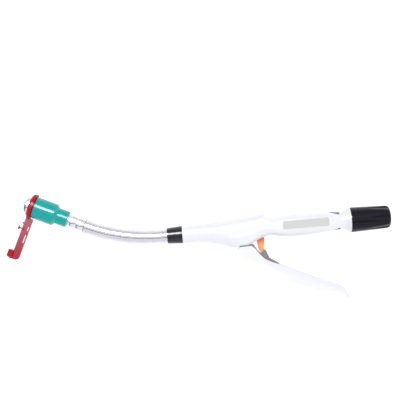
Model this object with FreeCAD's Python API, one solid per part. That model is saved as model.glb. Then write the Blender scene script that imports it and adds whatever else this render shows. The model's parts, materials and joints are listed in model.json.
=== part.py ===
import FreeCAD, Part
import math
import os

# A circular stapler lying on the cheek of its handle. Sizes are millimetres and degrees.
# +X runs along the handle to the knob, the lever is on the -Y side and +Z points up.
# Pieces are built about the handle's centre plane, then lifted by the cheek's half width.
# Pieces on the head are built along +X from the end of the shaft's bend, then swung into place.

# Clearances
RUNNING_GAP = 0.3
SEAT_GAP = 0.1
SLIDE_GAP = 0.5

# Handle housing
HALF_WIDTH = 15.5
NOSE_X = -79.5
NOSE_RADIUS = 10.7
WALL = 2.2
CAVITY_FRONT = -50.0
CAVITY_REAR = 91.0
CREST_X = 15.7
CREST_TOP = 16.9
BELLY_X = -16.5
BELLY_DEPTH = 21.2
GRIP_TOP = 12.9
GRIP_DEPTH = 13.2
GRIP_HALF_WIDTH = 15.8
NECK_X = 108.5
NECK_RADIUS = 10.8
BELL_X = 119.8
BELL_RADIUS = 15.1
BELL_LIP = 1.6
BELL_CUP_DEPTH = 6.0
UNDERSIDE_Y = -18.8
UNDERSIDE_LENGTH = 21.0
SECTION_POINTS = 12
SECTION_COUNT = 28
WINDOW_LENGTH = 14.5
WINDOW_HALF_WIDTH = 9.0
WINDOW_LIP = 3.4

# Shaft
COLLAR_LENGTH = 18.0
COLLAR_FRONT_RADIUS = 9.2
COLLAR_REAR_RADIUS = 10.5
COLLAR_ROUNDING = 0.6
SLEEVE_RADIUS = 8.4
TUBE_RADIUS = 7.5
TUBE_WALL = 0.6
BEND_START = -105.0
BEND_RADIUS = 206.0
BEND_ANGLE = 25.4
PUSH_TUBE_RADIUS = 4.8
PUSH_TUBE_WALL = 1.0
BAND_THICKNESS = 0.5
BAND_WIDTH = 4.0

# Knob and drive
KNOB_LENGTH = 47.0
KNOB_FRONT_RADIUS = 14.8
KNOB_REAR_RADIUS = 13.4
KNOB_WALL = 2.0
KNOB_CORNER = 5.0
FLUTE_COUNT = 6
FLUTE_START = 12.0
FLUTE_DEPTH = 2.2
FLUTE_RADIUS = 10.0
FLUTE_TIP_RADIUS = 1.2
KNOB_SLEEVE_RADIUS = 8.9
KNOB_CAP_THICKNESS = 2.4
FLANGE_RADIUS = 9.9
THRUST_FLANGE = 2.0
WASHER_THICKNESS = 1.0
NUT_LENGTH = 14.0
NUT_RADIUS = 6.0
SCREW_RADIUS = 3.4
SCREW_END_ROOM = 12.7
SCREW_FRONT = -55.0
OPENING_STROKE = 25.0
KEY_FLAT = 2.4
KEY_RUN_OUT = 3.0
GUIDE_X = 60.0
GUIDE_LENGTH = 5.0

# Firing train
PIVOT_X = -9.0
PIVOT_Y = -12.5
PIVOT_PIN_RADIUS = 2.0
FIRING_STROKE = 5.2
SLIDE_FLANGE_RADIUS = 9.0
SLIDE_FLANGE_THICKNESS = 3.0
SLIDE_TUBE_WALL = 1.4
SLIDE_OVERLAP = 8.0
SPRING_TURNS = 6
SPRING_WIRE = 0.45
SPRING_RADIUS = 7.45

# Lever
LEVER_HALF_WIDTH = 9.0
LEVER_TIP_HALF_WIDTH = 5.5
LEVER_WALL = 2.0
LEVER_RIB = 1.4
LEVER_CORNER = 3.0
LEVER_OPEN = 6.0
LEVER_HOLLOW_STATIONS = 9
LEVER_RIB_SHARE = 0.8
LEVER_SECTION_COUNT = 15
CORE_HALF_WIDTH = 6.2
CORE_SLOT = 3.6
BELLY_SLOT_FRONT = -15.0
BELLY_SLOT_REAR = 22.4
PRONG_RADIUS = 2.2
PRONG_LIFT = 12.5
HUB_RADIUS = 4.6

# Safety latch
LATCH_X = 13.0
LATCH_Y = -8.6
LATCH_LENGTH = 20.0
LATCH_HALF_WIDTH = 3.1
LATCH_ROOT_WIDTH = 8.0
LATCH_TIP_WIDTH = 4.4
LATCH_PIN_RADIUS = 1.2
LATCH_HUB_RADIUS = 3.0
LATCH_SLOT_FRONT = 1.5
LATCH_SLOT_FLOOR = -39.2
LATCH_WELL_LENGTH = 6.0
LATCH_WELL_DEPTH = 2.8

# Label and screws
LABEL_START = 38.9
LABEL_LENGTH = 54.4
LABEL_LOW = -3.8
LABEL_HEIGHT = 9.5
LABEL_CORNER = 2.0
LABEL_THICKNESS = 0.4
SHELL_SCREWS = ((1.0, 8.9), (36.0, -7.2), (52.0, 7.2), (80.0, -6.9))
SHELL_SCREW_RADIUS = 1.3
SHELL_SCREW_HEAD = 2.4
SHELL_SCREW_HEAD_DEPTH = 1.8
BOSS_RADIUS = 2.9
PIN_BOSS_WALL = 1.6
RIB_THICKNESS = 1.5
RIB_GAP = 1.2
RIB_PLACES = (24.5, 44.0, 72.0)

# Head, measured from the end of the bend
FERRULE_START = 0.8
FERRULE_LENGTH = 21.0
FERRULE_RADIUS = 9.0
FERRULE_GROOVE = 0.6
FERRULE_GROOVES = (9.6, 17.6)
NECK_LENGTH = 13.4
NECK_OUTER = 9.6
SHOULDER_LENGTH = 3.0
CASING_RADIUS = 13.0
CASING_LENGTH = 26.0
CASING_WALL = 1.1
SPIGOT_LENGTH = 9.0
SPIGOT_WALL = 1.2
GUIDE_RING_LENGTH = 12.0
STAPLES_PER_ROW = 10
INNER_ROW = 9.3
OUTER_ROW = 10.8
STAPLE_WIDTH = 3.6
STAPLE_WIRE = 0.35
STAPLE_LEG = 4.2
STAPLE_SLOT_GAP = 0.3
KNIFE_RADIUS = 7.9
KNIFE_WALL = 0.35
PUSHER_BASE = 6.0
PUSHER_LIP = 2.0

# Anvil, trocar and transport clip
STEM_RADIUS = 3.8
STEM_WALL = 1.1
STEM_REACH = 19.3
TROCAR_SHANK_START = 5.0
SPIKE_LENGTH = 19.0
SPIKE_POINT = 5.0
CLIP_GAP = 0.3
CLIP_THICKNESS = 4.7
CLIP_WEB = 0.9
CLIP_RADIUS = 15.5
CLIP_WALL = 1.9
CLIP_HUB_WALL = 1.7
CLIP_ARM_WIDTH = 9.2
CLIP_ARM_THICKNESS = 3.6
CLIP_ARM_END = 66.0
CLIP_TAB_LENGTH = 10.0
CLIP_TAB_DEPTH = 5.6
CLIP_TAB_HALF_WIDTH = 4.2
CLIP_PEG_PLACE = 28.5
CLIP_PEG_RADIUS = 1.1
CLIP_PEG_HEAD = 2.3
CLIP_SLOTS = ((24.0, 29.3), (34.3, 44.4))
CLIP_SLOT_WIDTH = 1.3
ANVIL_RADIUS = 12.5
ANVIL_HEIGHT = 8.7
ANVIL_RIM = 1.6
ANVIL_WASHER_OUTER = 8.2
ANVIL_WASHER_THICKNESS = 1.8
POCKET_DEPTH = 0.4


def vector(x, y=0.0, z=0.0):
    return FreeCAD.Vector(x, y, z)


X_AXIS = vector(1, 0, 0)
Z_AXIS = vector(0, 0, 1)


def rod(radius, start, end):
    """Solid cylinder on the X axis."""
    return Part.makeCylinder(radius, end - start, vector(start), X_AXIS)


def pipe(outer, inner, start, end):
    return rod(outer, start, end).cut(rod(inner, start, end))


def cross_pin(radius, x, y, low, high):
    """Solid cylinder along Z between two heights."""
    return Part.makeCylinder(radius, high - low, vector(x, y, low), Z_AXIS)


def block(x, y, z):
    """Box from three (low, high) pairs."""
    corner = vector(x[0], y[0], z[0])
    return Part.makeBox(x[1] - x[0], y[1] - y[0], z[1] - z[0], corner)


def turned(profile):
    """Turn an outline of (x, radius) points about the X axis."""
    points = [vector(x, r) for x, r in profile]
    face = Part.Face(Part.makePolygon(points + points[:1]))
    return face.revolve(vector(0), X_AXIS, 360)


def plate(points, half_width):
    """Extrude a closed outline of (x, y) points in the centre plane to both sides."""
    return centre_plate([vector(x, y) for x, y in points], half_width)


def centre_plate(corners, half_width):
    face = Part.Face(Part.makePolygon(corners + corners[:1]))
    face.translate(vector(0, 0, -half_width))
    return face.extrude(vector(0, 0, 2 * half_width))


def on_head(shape):
    """Swing a piece built along +X onto the head's axis at the end of the bend."""
    angle = math.radians(BEND_ANGLE)
    placed = shape.copy()
    placed.rotate(vector(0), Z_AXIS, 180 - BEND_ANGLE)
    placed.translate(vector(BEND_START - BEND_RADIUS * math.sin(angle),
                            BEND_RADIUS * (1 - math.cos(angle))))
    return placed


def along_shaft(section, rear, front):
    """Carry a face drawn about the X axis from the handle, round the bend, onto the head."""
    back = section.copy()
    back.translate(vector(BEND_START))
    straight = back.extrude(vector(rear - BEND_START))
    bend = back.revolve(vector(BEND_START, BEND_RADIUS), vector(0, 0, -1), BEND_ANGLE)
    head = on_head(section.extrude(vector(front)))
    return straight.fuse([bend, head]).removeSplitter()


def ring_section(outer, inner):
    edges = [Part.makeCircle(radius, vector(0), X_AXIS) for radius in (outer, inner)]
    discs = [Part.Face(Part.Wire(edge)) for edge in edges]
    return discs[0].cut(discs[1]).Faces[0]


def around(shape, count, turn=0.0):
    """Copies of a shape evenly spaced about the X axis."""
    copies = []
    for index in range(count):
        copy = shape.copy()
        copy.rotate(vector(0), X_AXIS, turn + index * 360.0 / count)
        copies.append(copy)
    return copies


def eased(places, values, place):
    """Monotone cubic through the values at the places, read at one place."""
    slopes = [(values[i + 1] - values[i]) / (places[i + 1] - places[i])
              for i in range(len(places) - 1)]
    leans = [slopes[0]]
    for before, after in zip(slopes, slopes[1:]):
        leans.append(2 * before * after / (before + after) if before * after > 0 else 0.0)
    leans.append(slopes[-1])
    spans = [i for i in range(len(slopes)) if places[i] <= place]
    i = max(spans + [0])
    span = places[i + 1] - places[i]
    t = (place - places[i]) / span
    start = (1 + 2 * t) * (1 - t) ** 2 * values[i] + t * (1 - t) ** 2 * span * leans[i]
    end = t * t * (3 - 2 * t) * values[i + 1] + t * t * (t - 1) * span * leans[i + 1]
    return start + end


def even_rows(places, rows, count):
    """Rows read at evenly spaced places, each column eased between the given rows."""
    columns = list(zip(*rows))
    first, last = places[0], places[-1]
    spread = [first + (last - first) * i / (count - 1) for i in range(count)]
    return [tuple(eased(places, column, place) for column in columns) for place in spread]


# Handle housing

def handle_stations():
    """Rows of x, top, bottom, half width and squareness along the handle."""
    return [
        (NOSE_X, NOSE_RADIUS, -NOSE_RADIUS, NOSE_RADIUS, 2.0),
        (-60.0, NOSE_RADIUS + 0.1, -NOSE_RADIUS - 0.5, 12.2, 2.1),
        (-40.0, 11.5, -14.2, 14.2, 2.3),
        (-25.0, 12.2, -19.2, GRIP_HALF_WIDTH - 0.3, 2.6),
        (BELLY_X, 13.2, -BELLY_DEPTH, GRIP_HALF_WIDTH, 2.8),
        (-8.0, 14.4, -20.8, GRIP_HALF_WIDTH, 2.8),
        (0.0, 14.8, -18.6, GRIP_HALF_WIDTH, 2.8),
        (9.0, 15.8, -14.6, GRIP_HALF_WIDTH, 2.8),
        (CREST_X, CREST_TOP, -12.0, GRIP_HALF_WIDTH, 2.8),
        (20.5, 14.0, -10.7, GRIP_HALF_WIDTH, 2.8),
        (26.5, 11.2, -9.9, GRIP_HALF_WIDTH, 2.8),
        (34.0, 11.5, -12.0, GRIP_HALF_WIDTH, 2.8),
        (48.0, GRIP_TOP - 0.1, -GRIP_DEPTH, GRIP_HALF_WIDTH, 2.8),
        (66.0, GRIP_TOP + 0.1, -GRIP_DEPTH, GRIP_HALF_WIDTH, 2.8),
        (84.0, GRIP_TOP - 0.5, -GRIP_DEPTH + 0.9, GRIP_HALF_WIDTH, 2.8),
        (96.0, NECK_RADIUS + 1.2, -NECK_RADIUS - 0.5, 14.4, 2.5),
        (NECK_X - 2.5, NECK_RADIUS + 0.4, -NECK_RADIUS + 0.1, 12.4, 2.2),
        (NECK_X + 2.0, NECK_RADIUS + 0.2, -NECK_RADIUS + 0.1, 12.0, 2.1),
        (NECK_X + 6.0, NECK_RADIUS + 1.8, -NECK_RADIUS - 1.0, 13.0, 2.0),
        (BELL_X, BELL_RADIUS + 0.4, -BELL_RADIUS + 0.4, BELL_RADIUS, 2.0),
    ]


def section_points(x, top, bottom, half_width, squareness):
    """Points round the handle's section at x."""
    middle = (top + bottom) / 2
    half_height = (top - bottom) / 2
    points = []
    for index in range(SECTION_POINTS):
        angle = 2 * math.pi * index / SECTION_POINTS
        across = abs(math.cos(angle)) ** (2 / squareness)
        upward = abs(math.sin(angle)) ** (2 / squareness)
        points.append(vector(
            x,
            middle + math.copysign(upward * half_height, math.sin(angle)),
            math.copysign(across * half_width, math.cos(angle)),
        ))
    return points


def smooth_section(points):
    curve = Part.BSplineCurve()
    curve.interpolate(points, PeriodicFlag=True)
    return Part.Wire(curve.toShape())


def flat_section(points):
    return Part.makePolygon(points + points[:1])


def handle_form(inset, make_section):
    """Form of the handle, drawn in by inset all round, with a flat rest on each cheek."""
    stations = handle_stations()
    wires = [
        make_section(section_points(x, top - inset, bottom + inset, half_width - inset, squareness))
        for x, top, bottom, half_width, squareness in even_rows(
            [row[0] for row in stations], stations, SECTION_COUNT)
    ]
    form = Part.makeLoft(wires, True, True)
    reach = HALF_WIDTH - inset
    cheeks = block((NOSE_X, BELL_X), (-60, 60), (-reach, reach))
    return form.common(cheeks)


def underside_recess():
    """Step under the belly that makes room for the lever's root."""
    rear = BELLY_X + UNDERSIDE_LENGTH
    return plate([(BELLY_X + 0.6, UNDERSIDE_Y), (rear, UNDERSIDE_Y), (rear, -30),
                  (BELLY_X + 0.6, -30)], 30)


def neck_windows():
    """Wedge windows in the top and bottom of the neck, over the knob's sleeve."""
    start = NECK_X - WINDOW_LENGTH
    wedge = [(start, 13.0), (start + 1.0, 11.0), (NECK_X - WINDOW_LIP, KNOB_SLEEVE_RADIUS - 1),
             (NECK_X - WINDOW_LIP + 1.2, KNOB_SLEEVE_RADIUS - 1), (NECK_X, 13.0)]
    upper = plate(wedge, WINDOW_HALF_WIDTH)
    lower = upper.mirror(vector(0), vector(0, 1, 0))
    return upper.fuse(lower)


def shell_ribs():
    """Moulded bosses and cross ribs that stand inside the shells."""
    wide = (-HALF_WIDTH, HALF_WIDTH)
    bosses = [cross_pin(BOSS_RADIUS, x, y, *wide) for x, y in SHELL_SCREWS]
    low = CORE_HALF_WIDTH + RUNNING_GAP
    for x, y, radius in pin_places():
        for side in (-1, 1):
            ends = sorted((side * low, side * HALF_WIDTH))
            bosses.append(cross_pin(radius + PIN_BOSS_WALL, x, y, *ends))
    guide_end = GUIDE_X + GUIDE_LENGTH + SEAT_GAP
    rib_places = list(RIB_PLACES) + [GUIDE_X - SEAT_GAP - RIB_THICKNESS, guide_end,
                                     flange_start() - RUNNING_GAP - RIB_THICKNESS]
    ribs = [block((x, x + RIB_THICKNESS), (-40, 40), wide) for x in rib_places]
    ribs = ribs[0].fuse(ribs[1:]).cut(rod(SCREW_RADIUS + RIB_GAP, CAVITY_FRONT, CAVITY_REAR))
    return ribs.fuse(bosses)


def pin_places():
    """Place and radius of the lever's pin and the latch's pin."""
    return ((PIVOT_X, PIVOT_Y, PIVOT_PIN_RADIUS), (LATCH_X, LATCH_Y, LATCH_PIN_RADIUS))


def housing():
    """Both shells in one, before they are split."""
    length = block((CAVITY_FRONT, CAVITY_REAR), (-40, 40), (-HALF_WIDTH, HALF_WIDTH))
    hollow = handle_form(WALL, flat_section).common(length).cut(shell_ribs())
    cup = turned([(BELL_X - BELL_CUP_DEPTH, 0), (BELL_X - BELL_CUP_DEPTH, KNOB_SLEEVE_RADIUS + 1),
                  (BELL_X + 0.1, BELL_RADIUS - BELL_LIP), (BELL_X + 0.1, 0)])
    slot_reach = CORE_HALF_WIDTH + RUNNING_GAP
    slot = block((BELLY_SLOT_FRONT, BELLY_SLOT_REAR), (-40, PIVOT_Y + 4.5),
                 (-slot_reach, slot_reach))
    cuts = [
        hollow, cup, slot, underside_recess(), neck_windows(), label_form(SEAT_GAP),
        rod(TUBE_RADIUS + SEAT_GAP, NOSE_X - 1, CAVITY_FRONT + 1),
        rod(KNOB_SLEEVE_RADIUS + RUNNING_GAP, CAVITY_REAR - 1, BELL_X + 1),
        rod(FLANGE_RADIUS + RUNNING_GAP, flange_start() - RUNNING_GAP, CAVITY_REAR),
    ]
    head_seat = -HALF_WIDTH + SHELL_SCREW_HEAD_DEPTH + SEAT_GAP
    for x, y in SHELL_SCREWS:
        cuts.append(cross_pin(SHELL_SCREW_RADIUS + SEAT_GAP, x, y, -HALF_WIDTH - 1,
                              HALF_WIDTH - WALL - 1))
        cuts.append(cross_pin(SHELL_SCREW_HEAD + RUNNING_GAP, x, y, -HALF_WIDTH - 1, head_seat))
    reach = pin_reach() + SEAT_GAP
    for x, y, radius in pin_places():
        cuts.append(cross_pin(radius + SEAT_GAP, x, y, -reach, reach))
    return handle_form(0, smooth_section).cut(cuts)


def pin_reach():
    """Half the length of the lever's and the latch's pins."""
    return HALF_WIDTH - WALL - 0.6


def shell(side, whole):
    low, high = (SEAT_GAP / 2, HALF_WIDTH + 1) if side > 0 else (-HALF_WIDTH - 1, -SEAT_GAP / 2)
    half = whole.common(block((NOSE_X - 1, BELL_X + 1), (-60, 60), (low, high)))
    return max(half.Solids, key=lambda solid: solid.Volume)


def label_form(gap):
    """Rounded plate let into the upper cheek."""
    x = (LABEL_START - gap, LABEL_START + LABEL_LENGTH + gap)
    y = (LABEL_LOW - gap, LABEL_LOW + LABEL_HEIGHT + gap)
    form = block(x, y, (HALF_WIDTH - LABEL_THICKNESS - gap, HALF_WIDTH + gap))
    upright = [edge for edge in form.Edges if abs(edge.tangentAt(edge.FirstParameter).z) > 0.9]
    return form.makeFillet(LABEL_CORNER, upright)


def label_plate():
    """Blank pale plate, flush with the cheek."""
    low = (LABEL_LOW, LABEL_LOW + LABEL_HEIGHT)
    flush = block((LABEL_START, LABEL_START + LABEL_LENGTH), low, (0, HALF_WIDTH))
    return label_form(0).common(flush)


def shell_screws():
    """Screws that hold the two shells together, entered from the lower cheek."""
    screws = []
    for x, y in SHELL_SCREWS:
        head_top = -HALF_WIDTH + SHELL_SCREW_HEAD_DEPTH
        head = cross_pin(SHELL_SCREW_HEAD, x, y, -HALF_WIDTH + 0.4, head_top)
        screws.append(head.fuse(cross_pin(SHELL_SCREW_RADIUS, x, y, head_top,
                                          HALF_WIDTH - WALL - 1.5)))
    return Part.makeCompound(screws)


# Shaft

def shaft_collar():
    """Black collar that closes the front of the handle."""
    front = NOSE_X - COLLAR_LENGTH
    length = COLLAR_LENGTH - SEAT_GAP
    body = Part.makeCone(COLLAR_FRONT_RADIUS, COLLAR_REAR_RADIUS, length, vector(front), X_AXIS)
    rim = [edge for edge in body.Edges
           if edge.Closed and edge.BoundBox.XMax < front + SEAT_GAP]
    body = body.makeChamfer(COLLAR_ROUNDING, rim)
    return body.cut(rod(SLEEVE_RADIUS + SEAT_GAP, front - 1, NOSE_X))


def shaft_tube():
    section = ring_section(TUBE_RADIUS, TUBE_RADIUS - TUBE_WALL)
    return along_shaft(section, CAVITY_FRONT - SEAT_GAP, FERRULE_START + FERRULE_LENGTH - 1)


def clear_sleeve():
    section = ring_section(SLEEVE_RADIUS, TUBE_RADIUS + SEAT_GAP)
    return along_shaft(section, NOSE_X - 2 * SEAT_GAP, FERRULE_START - 2 * SEAT_GAP)


def push_tube():
    section = ring_section(PUSH_TUBE_RADIUS, PUSH_TUBE_RADIUS - PUSH_TUBE_WALL)
    return along_shaft(section, push_tube_rear(), 16.0)


def push_tube_rear():
    return SCREW_FRONT - FIRING_STROKE - SLIDE_OVERLAP + 2.0


def pull_band():
    """Flat steel band between the drive screw and the trocar."""
    half = BAND_THICKNESS / 2
    wide = BAND_WIDTH / 2
    corners = [vector(0, -half, -wide), vector(0, half, -wide), vector(0, half, wide),
               vector(0, -half, wide)]
    section = Part.Face(Part.makePolygon(corners + corners[:1]))
    return along_shaft(section, SCREW_FRONT + 5.0, TROCAR_SHANK_START + OPENING_STROKE + 3.0)


# Knob and drive

def band_slot(start, end):
    """Slot across a rod that the pull band runs in."""
    half = BAND_THICKNESS / 2 + RUNNING_GAP
    return block((start, end), (-half, half), (-20, 20))


def adjusting_knob():
    front = BELL_X + RUNNING_GAP
    rear = front + KNOB_LENGTH
    corner_x = rear - KNOB_CORNER
    steps = 4
    corner = []
    for index in range(steps + 1):
        angle = math.pi / 2 * index / steps
        corner.append((corner_x + KNOB_CORNER * math.sin(angle),
                       KNOB_REAR_RADIUS - KNOB_CORNER * (1 - math.cos(angle))))
    cap_radius = KNOB_REAR_RADIUS - KNOB_CORNER - 0.6
    body = turned([(front, 0), (front, KNOB_FRONT_RADIUS)] + corner + [(rear, 0)])
    flute_start = front + FLUTE_START
    run = vector(KNOB_LENGTH - FLUTE_START + 2.0, 0,
                 KNOB_REAR_RADIUS - FLUTE_DEPTH + FLUTE_RADIUS - KNOB_FRONT_RADIUS
                 - FLUTE_TIP_RADIUS)
    flute = Part.makeCone(FLUTE_TIP_RADIUS, FLUTE_RADIUS, run.Length,
                          vector(flute_start, 0, KNOB_FRONT_RADIUS + FLUTE_TIP_RADIUS), run)
    body = body.cut(around(flute, FLUTE_COUNT))
    cavity = rod(KNOB_FRONT_RADIUS - FLUTE_DEPTH - KNOB_WALL, front, rear - KNOB_WALL - 8)
    socket = rod(KNOB_SLEEVE_RADIUS - 1.0 + SEAT_GAP, front, rear - KNOB_CAP_THICKNESS)
    seat = rod(cap_radius + SEAT_GAP, rear - KNOB_CAP_THICKNESS, rear + 1)
    spokes = around(block((front + 3, rear - KNOB_WALL - 8), (KNOB_SLEEVE_RADIUS - 0.6, 30),
                          (-0.9, 0.9)), FLUTE_COUNT, 30)
    hollow = cavity.cut(spokes)
    return body.cut([hollow, socket, seat]), cap_radius, rear


def knob_end_cap(cap_radius, rear):
    """Slightly domed plug in the end of the knob."""
    inner = rear - KNOB_CAP_THICKNESS + SEAT_GAP
    return turned([(inner, 0), (inner, cap_radius), (rear - 0.4, cap_radius),
                   (rear, cap_radius - 0.8), (rear + 0.5, cap_radius * 0.5), (rear + 0.7, 0)])


def flange_start():
    """Front of the knob sleeve's thrust flange."""
    return CAVITY_REAR - WASHER_THICKNESS - THRUST_FLANGE - 2 * RUNNING_GAP


def knob_sleeve():
    """Dark sleeve that carries the knob and turns in the handle's neck."""
    start = flange_start()
    rear = BELL_X + RUNNING_GAP + KNOB_LENGTH - KNOB_CAP_THICKNESS - SEAT_GAP
    step = BELL_X + RUNNING_GAP
    body = rod(KNOB_SLEEVE_RADIUS, start, step).fuse(rod(KNOB_SLEEVE_RADIUS - 1.0, step, rear))
    flange = rod(FLANGE_RADIUS, start, start + THRUST_FLANGE)
    bore = rod(SCREW_RADIUS + RUNNING_GAP, start - 1, rear + 1)
    nut_room = rod(NUT_RADIUS + SEAT_GAP, start - 1, start + NUT_LENGTH + SEAT_GAP)
    return body.fuse(flange).cut([bore, nut_room])


def drive_nut():
    """Brass nut pressed into the front of the knob's sleeve."""
    start = flange_start()
    return pipe(NUT_RADIUS, SCREW_RADIUS + RUNNING_GAP, start, start + NUT_LENGTH)


def thrust_washer():
    """Washer between the sleeve's flange and the neck."""
    start = flange_start() + THRUST_FLANGE + SEAT_GAP
    return pipe(FLANGE_RADIUS, KNOB_SLEEVE_RADIUS + SEAT_GAP, start,
                start + WASHER_THICKNESS)


def drive_screw():
    """Rod that the knob draws along the handle, flat on two sides where the guide holds it."""
    rear = BELL_X + RUNNING_GAP + KNOB_LENGTH - KNOB_CAP_THICKNESS - SCREW_END_ROOM
    body = rod(SCREW_RADIUS, SCREW_FRONT, rear)
    start = GUIDE_X - KEY_RUN_OUT
    end = GUIDE_X + GUIDE_LENGTH + OPENING_STROKE + KEY_RUN_OUT
    for side in (-1, 1):
        flat = block((start, end), (-10, 10), sorted((side * KEY_FLAT, side * 10)))
        body = body.cut(flat)
    return body.cut(band_slot(SCREW_FRONT - 1, SCREW_FRONT + OPENING_STROKE + 12.0))


def screw_guide():
    """Block with a flatted bore that lets the drive screw slide without turning."""
    inside = handle_form(WALL + SEAT_GAP, flat_section).common(
        block((GUIDE_X, GUIDE_X + GUIDE_LENGTH), (-40, 40), (-9.0, 9.0)))
    bore = rod(SCREW_RADIUS + RUNNING_GAP, GUIDE_X - 1, GUIDE_X + GUIDE_LENGTH + 1)
    key = KEY_FLAT + RUNNING_GAP
    bore = bore.common(block((GUIDE_X - 1, GUIDE_X + GUIDE_LENGTH + 1), (-10, 10), (-key, key)))
    body = inside.cut(bore)
    for x, y in SHELL_SCREWS:
        body = body.cut(cross_pin(BOSS_RADIUS + SEAT_GAP, x, y, -20, 20))
    return body


# Firing train

def prong_front():
    """Front of the lever's prongs, where they meet the firing slide."""
    return PIVOT_X - 1.0 - PRONG_RADIUS


def firing_slide():
    """Sleeve and flange that the lever pushes towards the head."""
    rear = prong_front() - RUNNING_GAP
    bore_step = push_tube_rear() + FIRING_STROKE + 2.0
    front = push_tube_rear() - SLIDE_OVERLAP
    inner = PUSH_TUBE_RADIUS + RUNNING_GAP
    outer = inner + SLIDE_TUBE_WALL
    body = rod(outer, front, rear)
    body = body.fuse(rod(SLIDE_FLANGE_RADIUS, rear - SLIDE_FLANGE_THICKNESS, rear))
    return body.cut([rod(SCREW_RADIUS + SLIDE_GAP, front - 1, rear + 1),
                     rod(inner, front - 1, bore_step)])


def return_spring():
    """Wound spring between the nose and the firing slide's flange."""
    start = CAVITY_FRONT + SPRING_WIRE + SEAT_GAP
    end = prong_front() - 2 * RUNNING_GAP - SLIDE_FLANGE_THICKNESS - SPRING_WIRE
    pitch = (end - start) / SPRING_TURNS
    helix = Part.makeHelix(pitch, end - start, SPRING_RADIUS)
    sides = ((-1, -1), (1, -1), (1, 1), (-1, 1), (-1, -1))
    wire = Part.makePolygon([vector(SPRING_RADIUS + SPRING_WIRE * out, 0, SPRING_WIRE * along)
                             for out, along in sides])
    spring = Part.Wire(helix.Edges).makePipeShell([wire], True, True)
    spring.rotate(vector(0), vector(0, 1, 0), 90)
    spring.translate(vector(start))
    return spring


def lever_pin():
    reach = pin_reach()
    return cross_pin(PIVOT_PIN_RADIUS, PIVOT_X, PIVOT_Y, -reach, reach)


def latch_pin():
    reach = pin_reach()
    return cross_pin(LATCH_PIN_RADIUS, LATCH_X, LATCH_Y, -reach, reach)


# Lever

def lever_stations():
    """Outer point, inner point and half width of each section along the lever."""
    wide = LEVER_HALF_WIDTH
    tip = LEVER_TIP_HALF_WIDTH
    return [
        ((-15.2, -22.6), (2.8, -22.4), wide),
        ((-14.5, -29.9), (5.9, -27.5), wide),
        ((-9.0, -38.0), (9.3, -31.6), wide),
        ((0.0, -42.8), (14.0, -36.3), wide),
        ((9.5, -46.7), (20.2, -40.0), wide),
        ((19.1, -53.0), (27.5, -43.4), wide + 0.3),
        ((30.3, -59.6), (37.5, -47.9), wide + 0.6),
        ((53.2, -69.2), (59.5, -57.6), wide + 0.6),
        ((76.1, -77.6), (81.5, -67.3), wide),
        ((94.0, -81.8), (98.0, -73.6), wide - 1.0),
        ((102.0, -84.6), (106.4, -79.2), tip + 1.2),
        ((108.3, -91.3), (110.4, -90.0), tip),
    ]


def lever_section(outer, inner, side):
    """Rounded section across the lever."""
    base = vector(*outer)
    across = vector(*inner) - base
    high = across.Length
    across.normalize()
    corner = min(LEVER_CORNER, high * 0.4, side * 0.6)
    turn = corner * (1 - math.sqrt(0.5))

    def spot(up, out):
        return base + across * up + vector(0, 0, out)

    corners = [
        (spot(0, corner - side), spot(turn, turn - side), spot(corner, -side)),
        (spot(high - corner, -side), spot(high - turn, turn - side), spot(high, corner - side)),
        (spot(high, side - corner), spot(high - turn, side - turn), spot(high - corner, side)),
        (spot(corner, side), spot(turn, side - turn), spot(0, side - corner)),
    ]
    edges = []
    for index, (first, middle, last) in enumerate(corners):
        edges.append(Part.Arc(first, middle, last).toShape())
        following = corners[(index + 1) % len(corners)][0]
        edges.append(Part.LineSegment(last, following).toShape())
    return Part.Wire(edges)


def lever_form():
    """Outer form of the lever."""
    rows = [outer + inner + (half_width,) for outer, inner, half_width in lever_stations()]
    places = [0.0]
    for before, after in zip(rows, rows[1:]):
        step = math.dist(before[:4], after[:4]) / math.sqrt(2)
        places.append(places[-1] + step)
    even = even_rows(places, rows, LEVER_SECTION_COUNT)
    wires = [lever_section(row[:2], row[2:4], row[4]) for row in even]
    return Part.makeLoft(wires, True, True)


def lever_hollow():
    """Room in the lever's channel, open towards the handle and crossed by ribs."""
    floor = []
    mouth = []
    ribs = []
    for outer, inner, _ in lever_stations()[1:LEVER_HOLLOW_STATIONS]:
        base = vector(*outer)
        across = vector(*inner) - base
        aside = vector(across.y, -across.x).normalize() * (LEVER_RIB / 2)
        rib_top = base + across * LEVER_RIB_SHARE
        ribs.append(centre_plate([base - aside, rib_top - aside, rib_top + aside, base + aside],
                                 LEVER_HALF_WIDTH))
        unit = vector(across.x, across.y).normalize()
        floor.append(base + unit * LEVER_WALL)
        mouth.append(base + across + unit * LEVER_OPEN)
    channel = centre_plate(floor + mouth[::-1], LEVER_HALF_WIDTH - LEVER_WALL)
    return channel.cut(ribs[1:-1])


def core_outline():
    """Side view of the lever's grey core, clockwise from the front of its hub."""
    top_y = PIVOT_Y + PRONG_LIFT
    return [
        (PIVOT_X - HUB_RADIUS, PIVOT_Y - 4.0), (-12.9, -25.5), (-9.5, -31.0), (4.0, -38.0),
        (17.0, -44.0), (28.5, -49.0), (32.4, -46.6), (30.9, -41.6), (26.3, -38.4),
        (20.8, -35.5), (18.5, -30.4), (16.7, -26.1), (14.3, -28.0), (11.6, -29.9),
        (7.4, -26.0), (3.7, -19.2), (-3.0, -17.4), (PIVOT_X + HUB_RADIUS, PIVOT_Y),
        (PIVOT_X + 2.0, top_y - 3.0),
    ]


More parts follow.
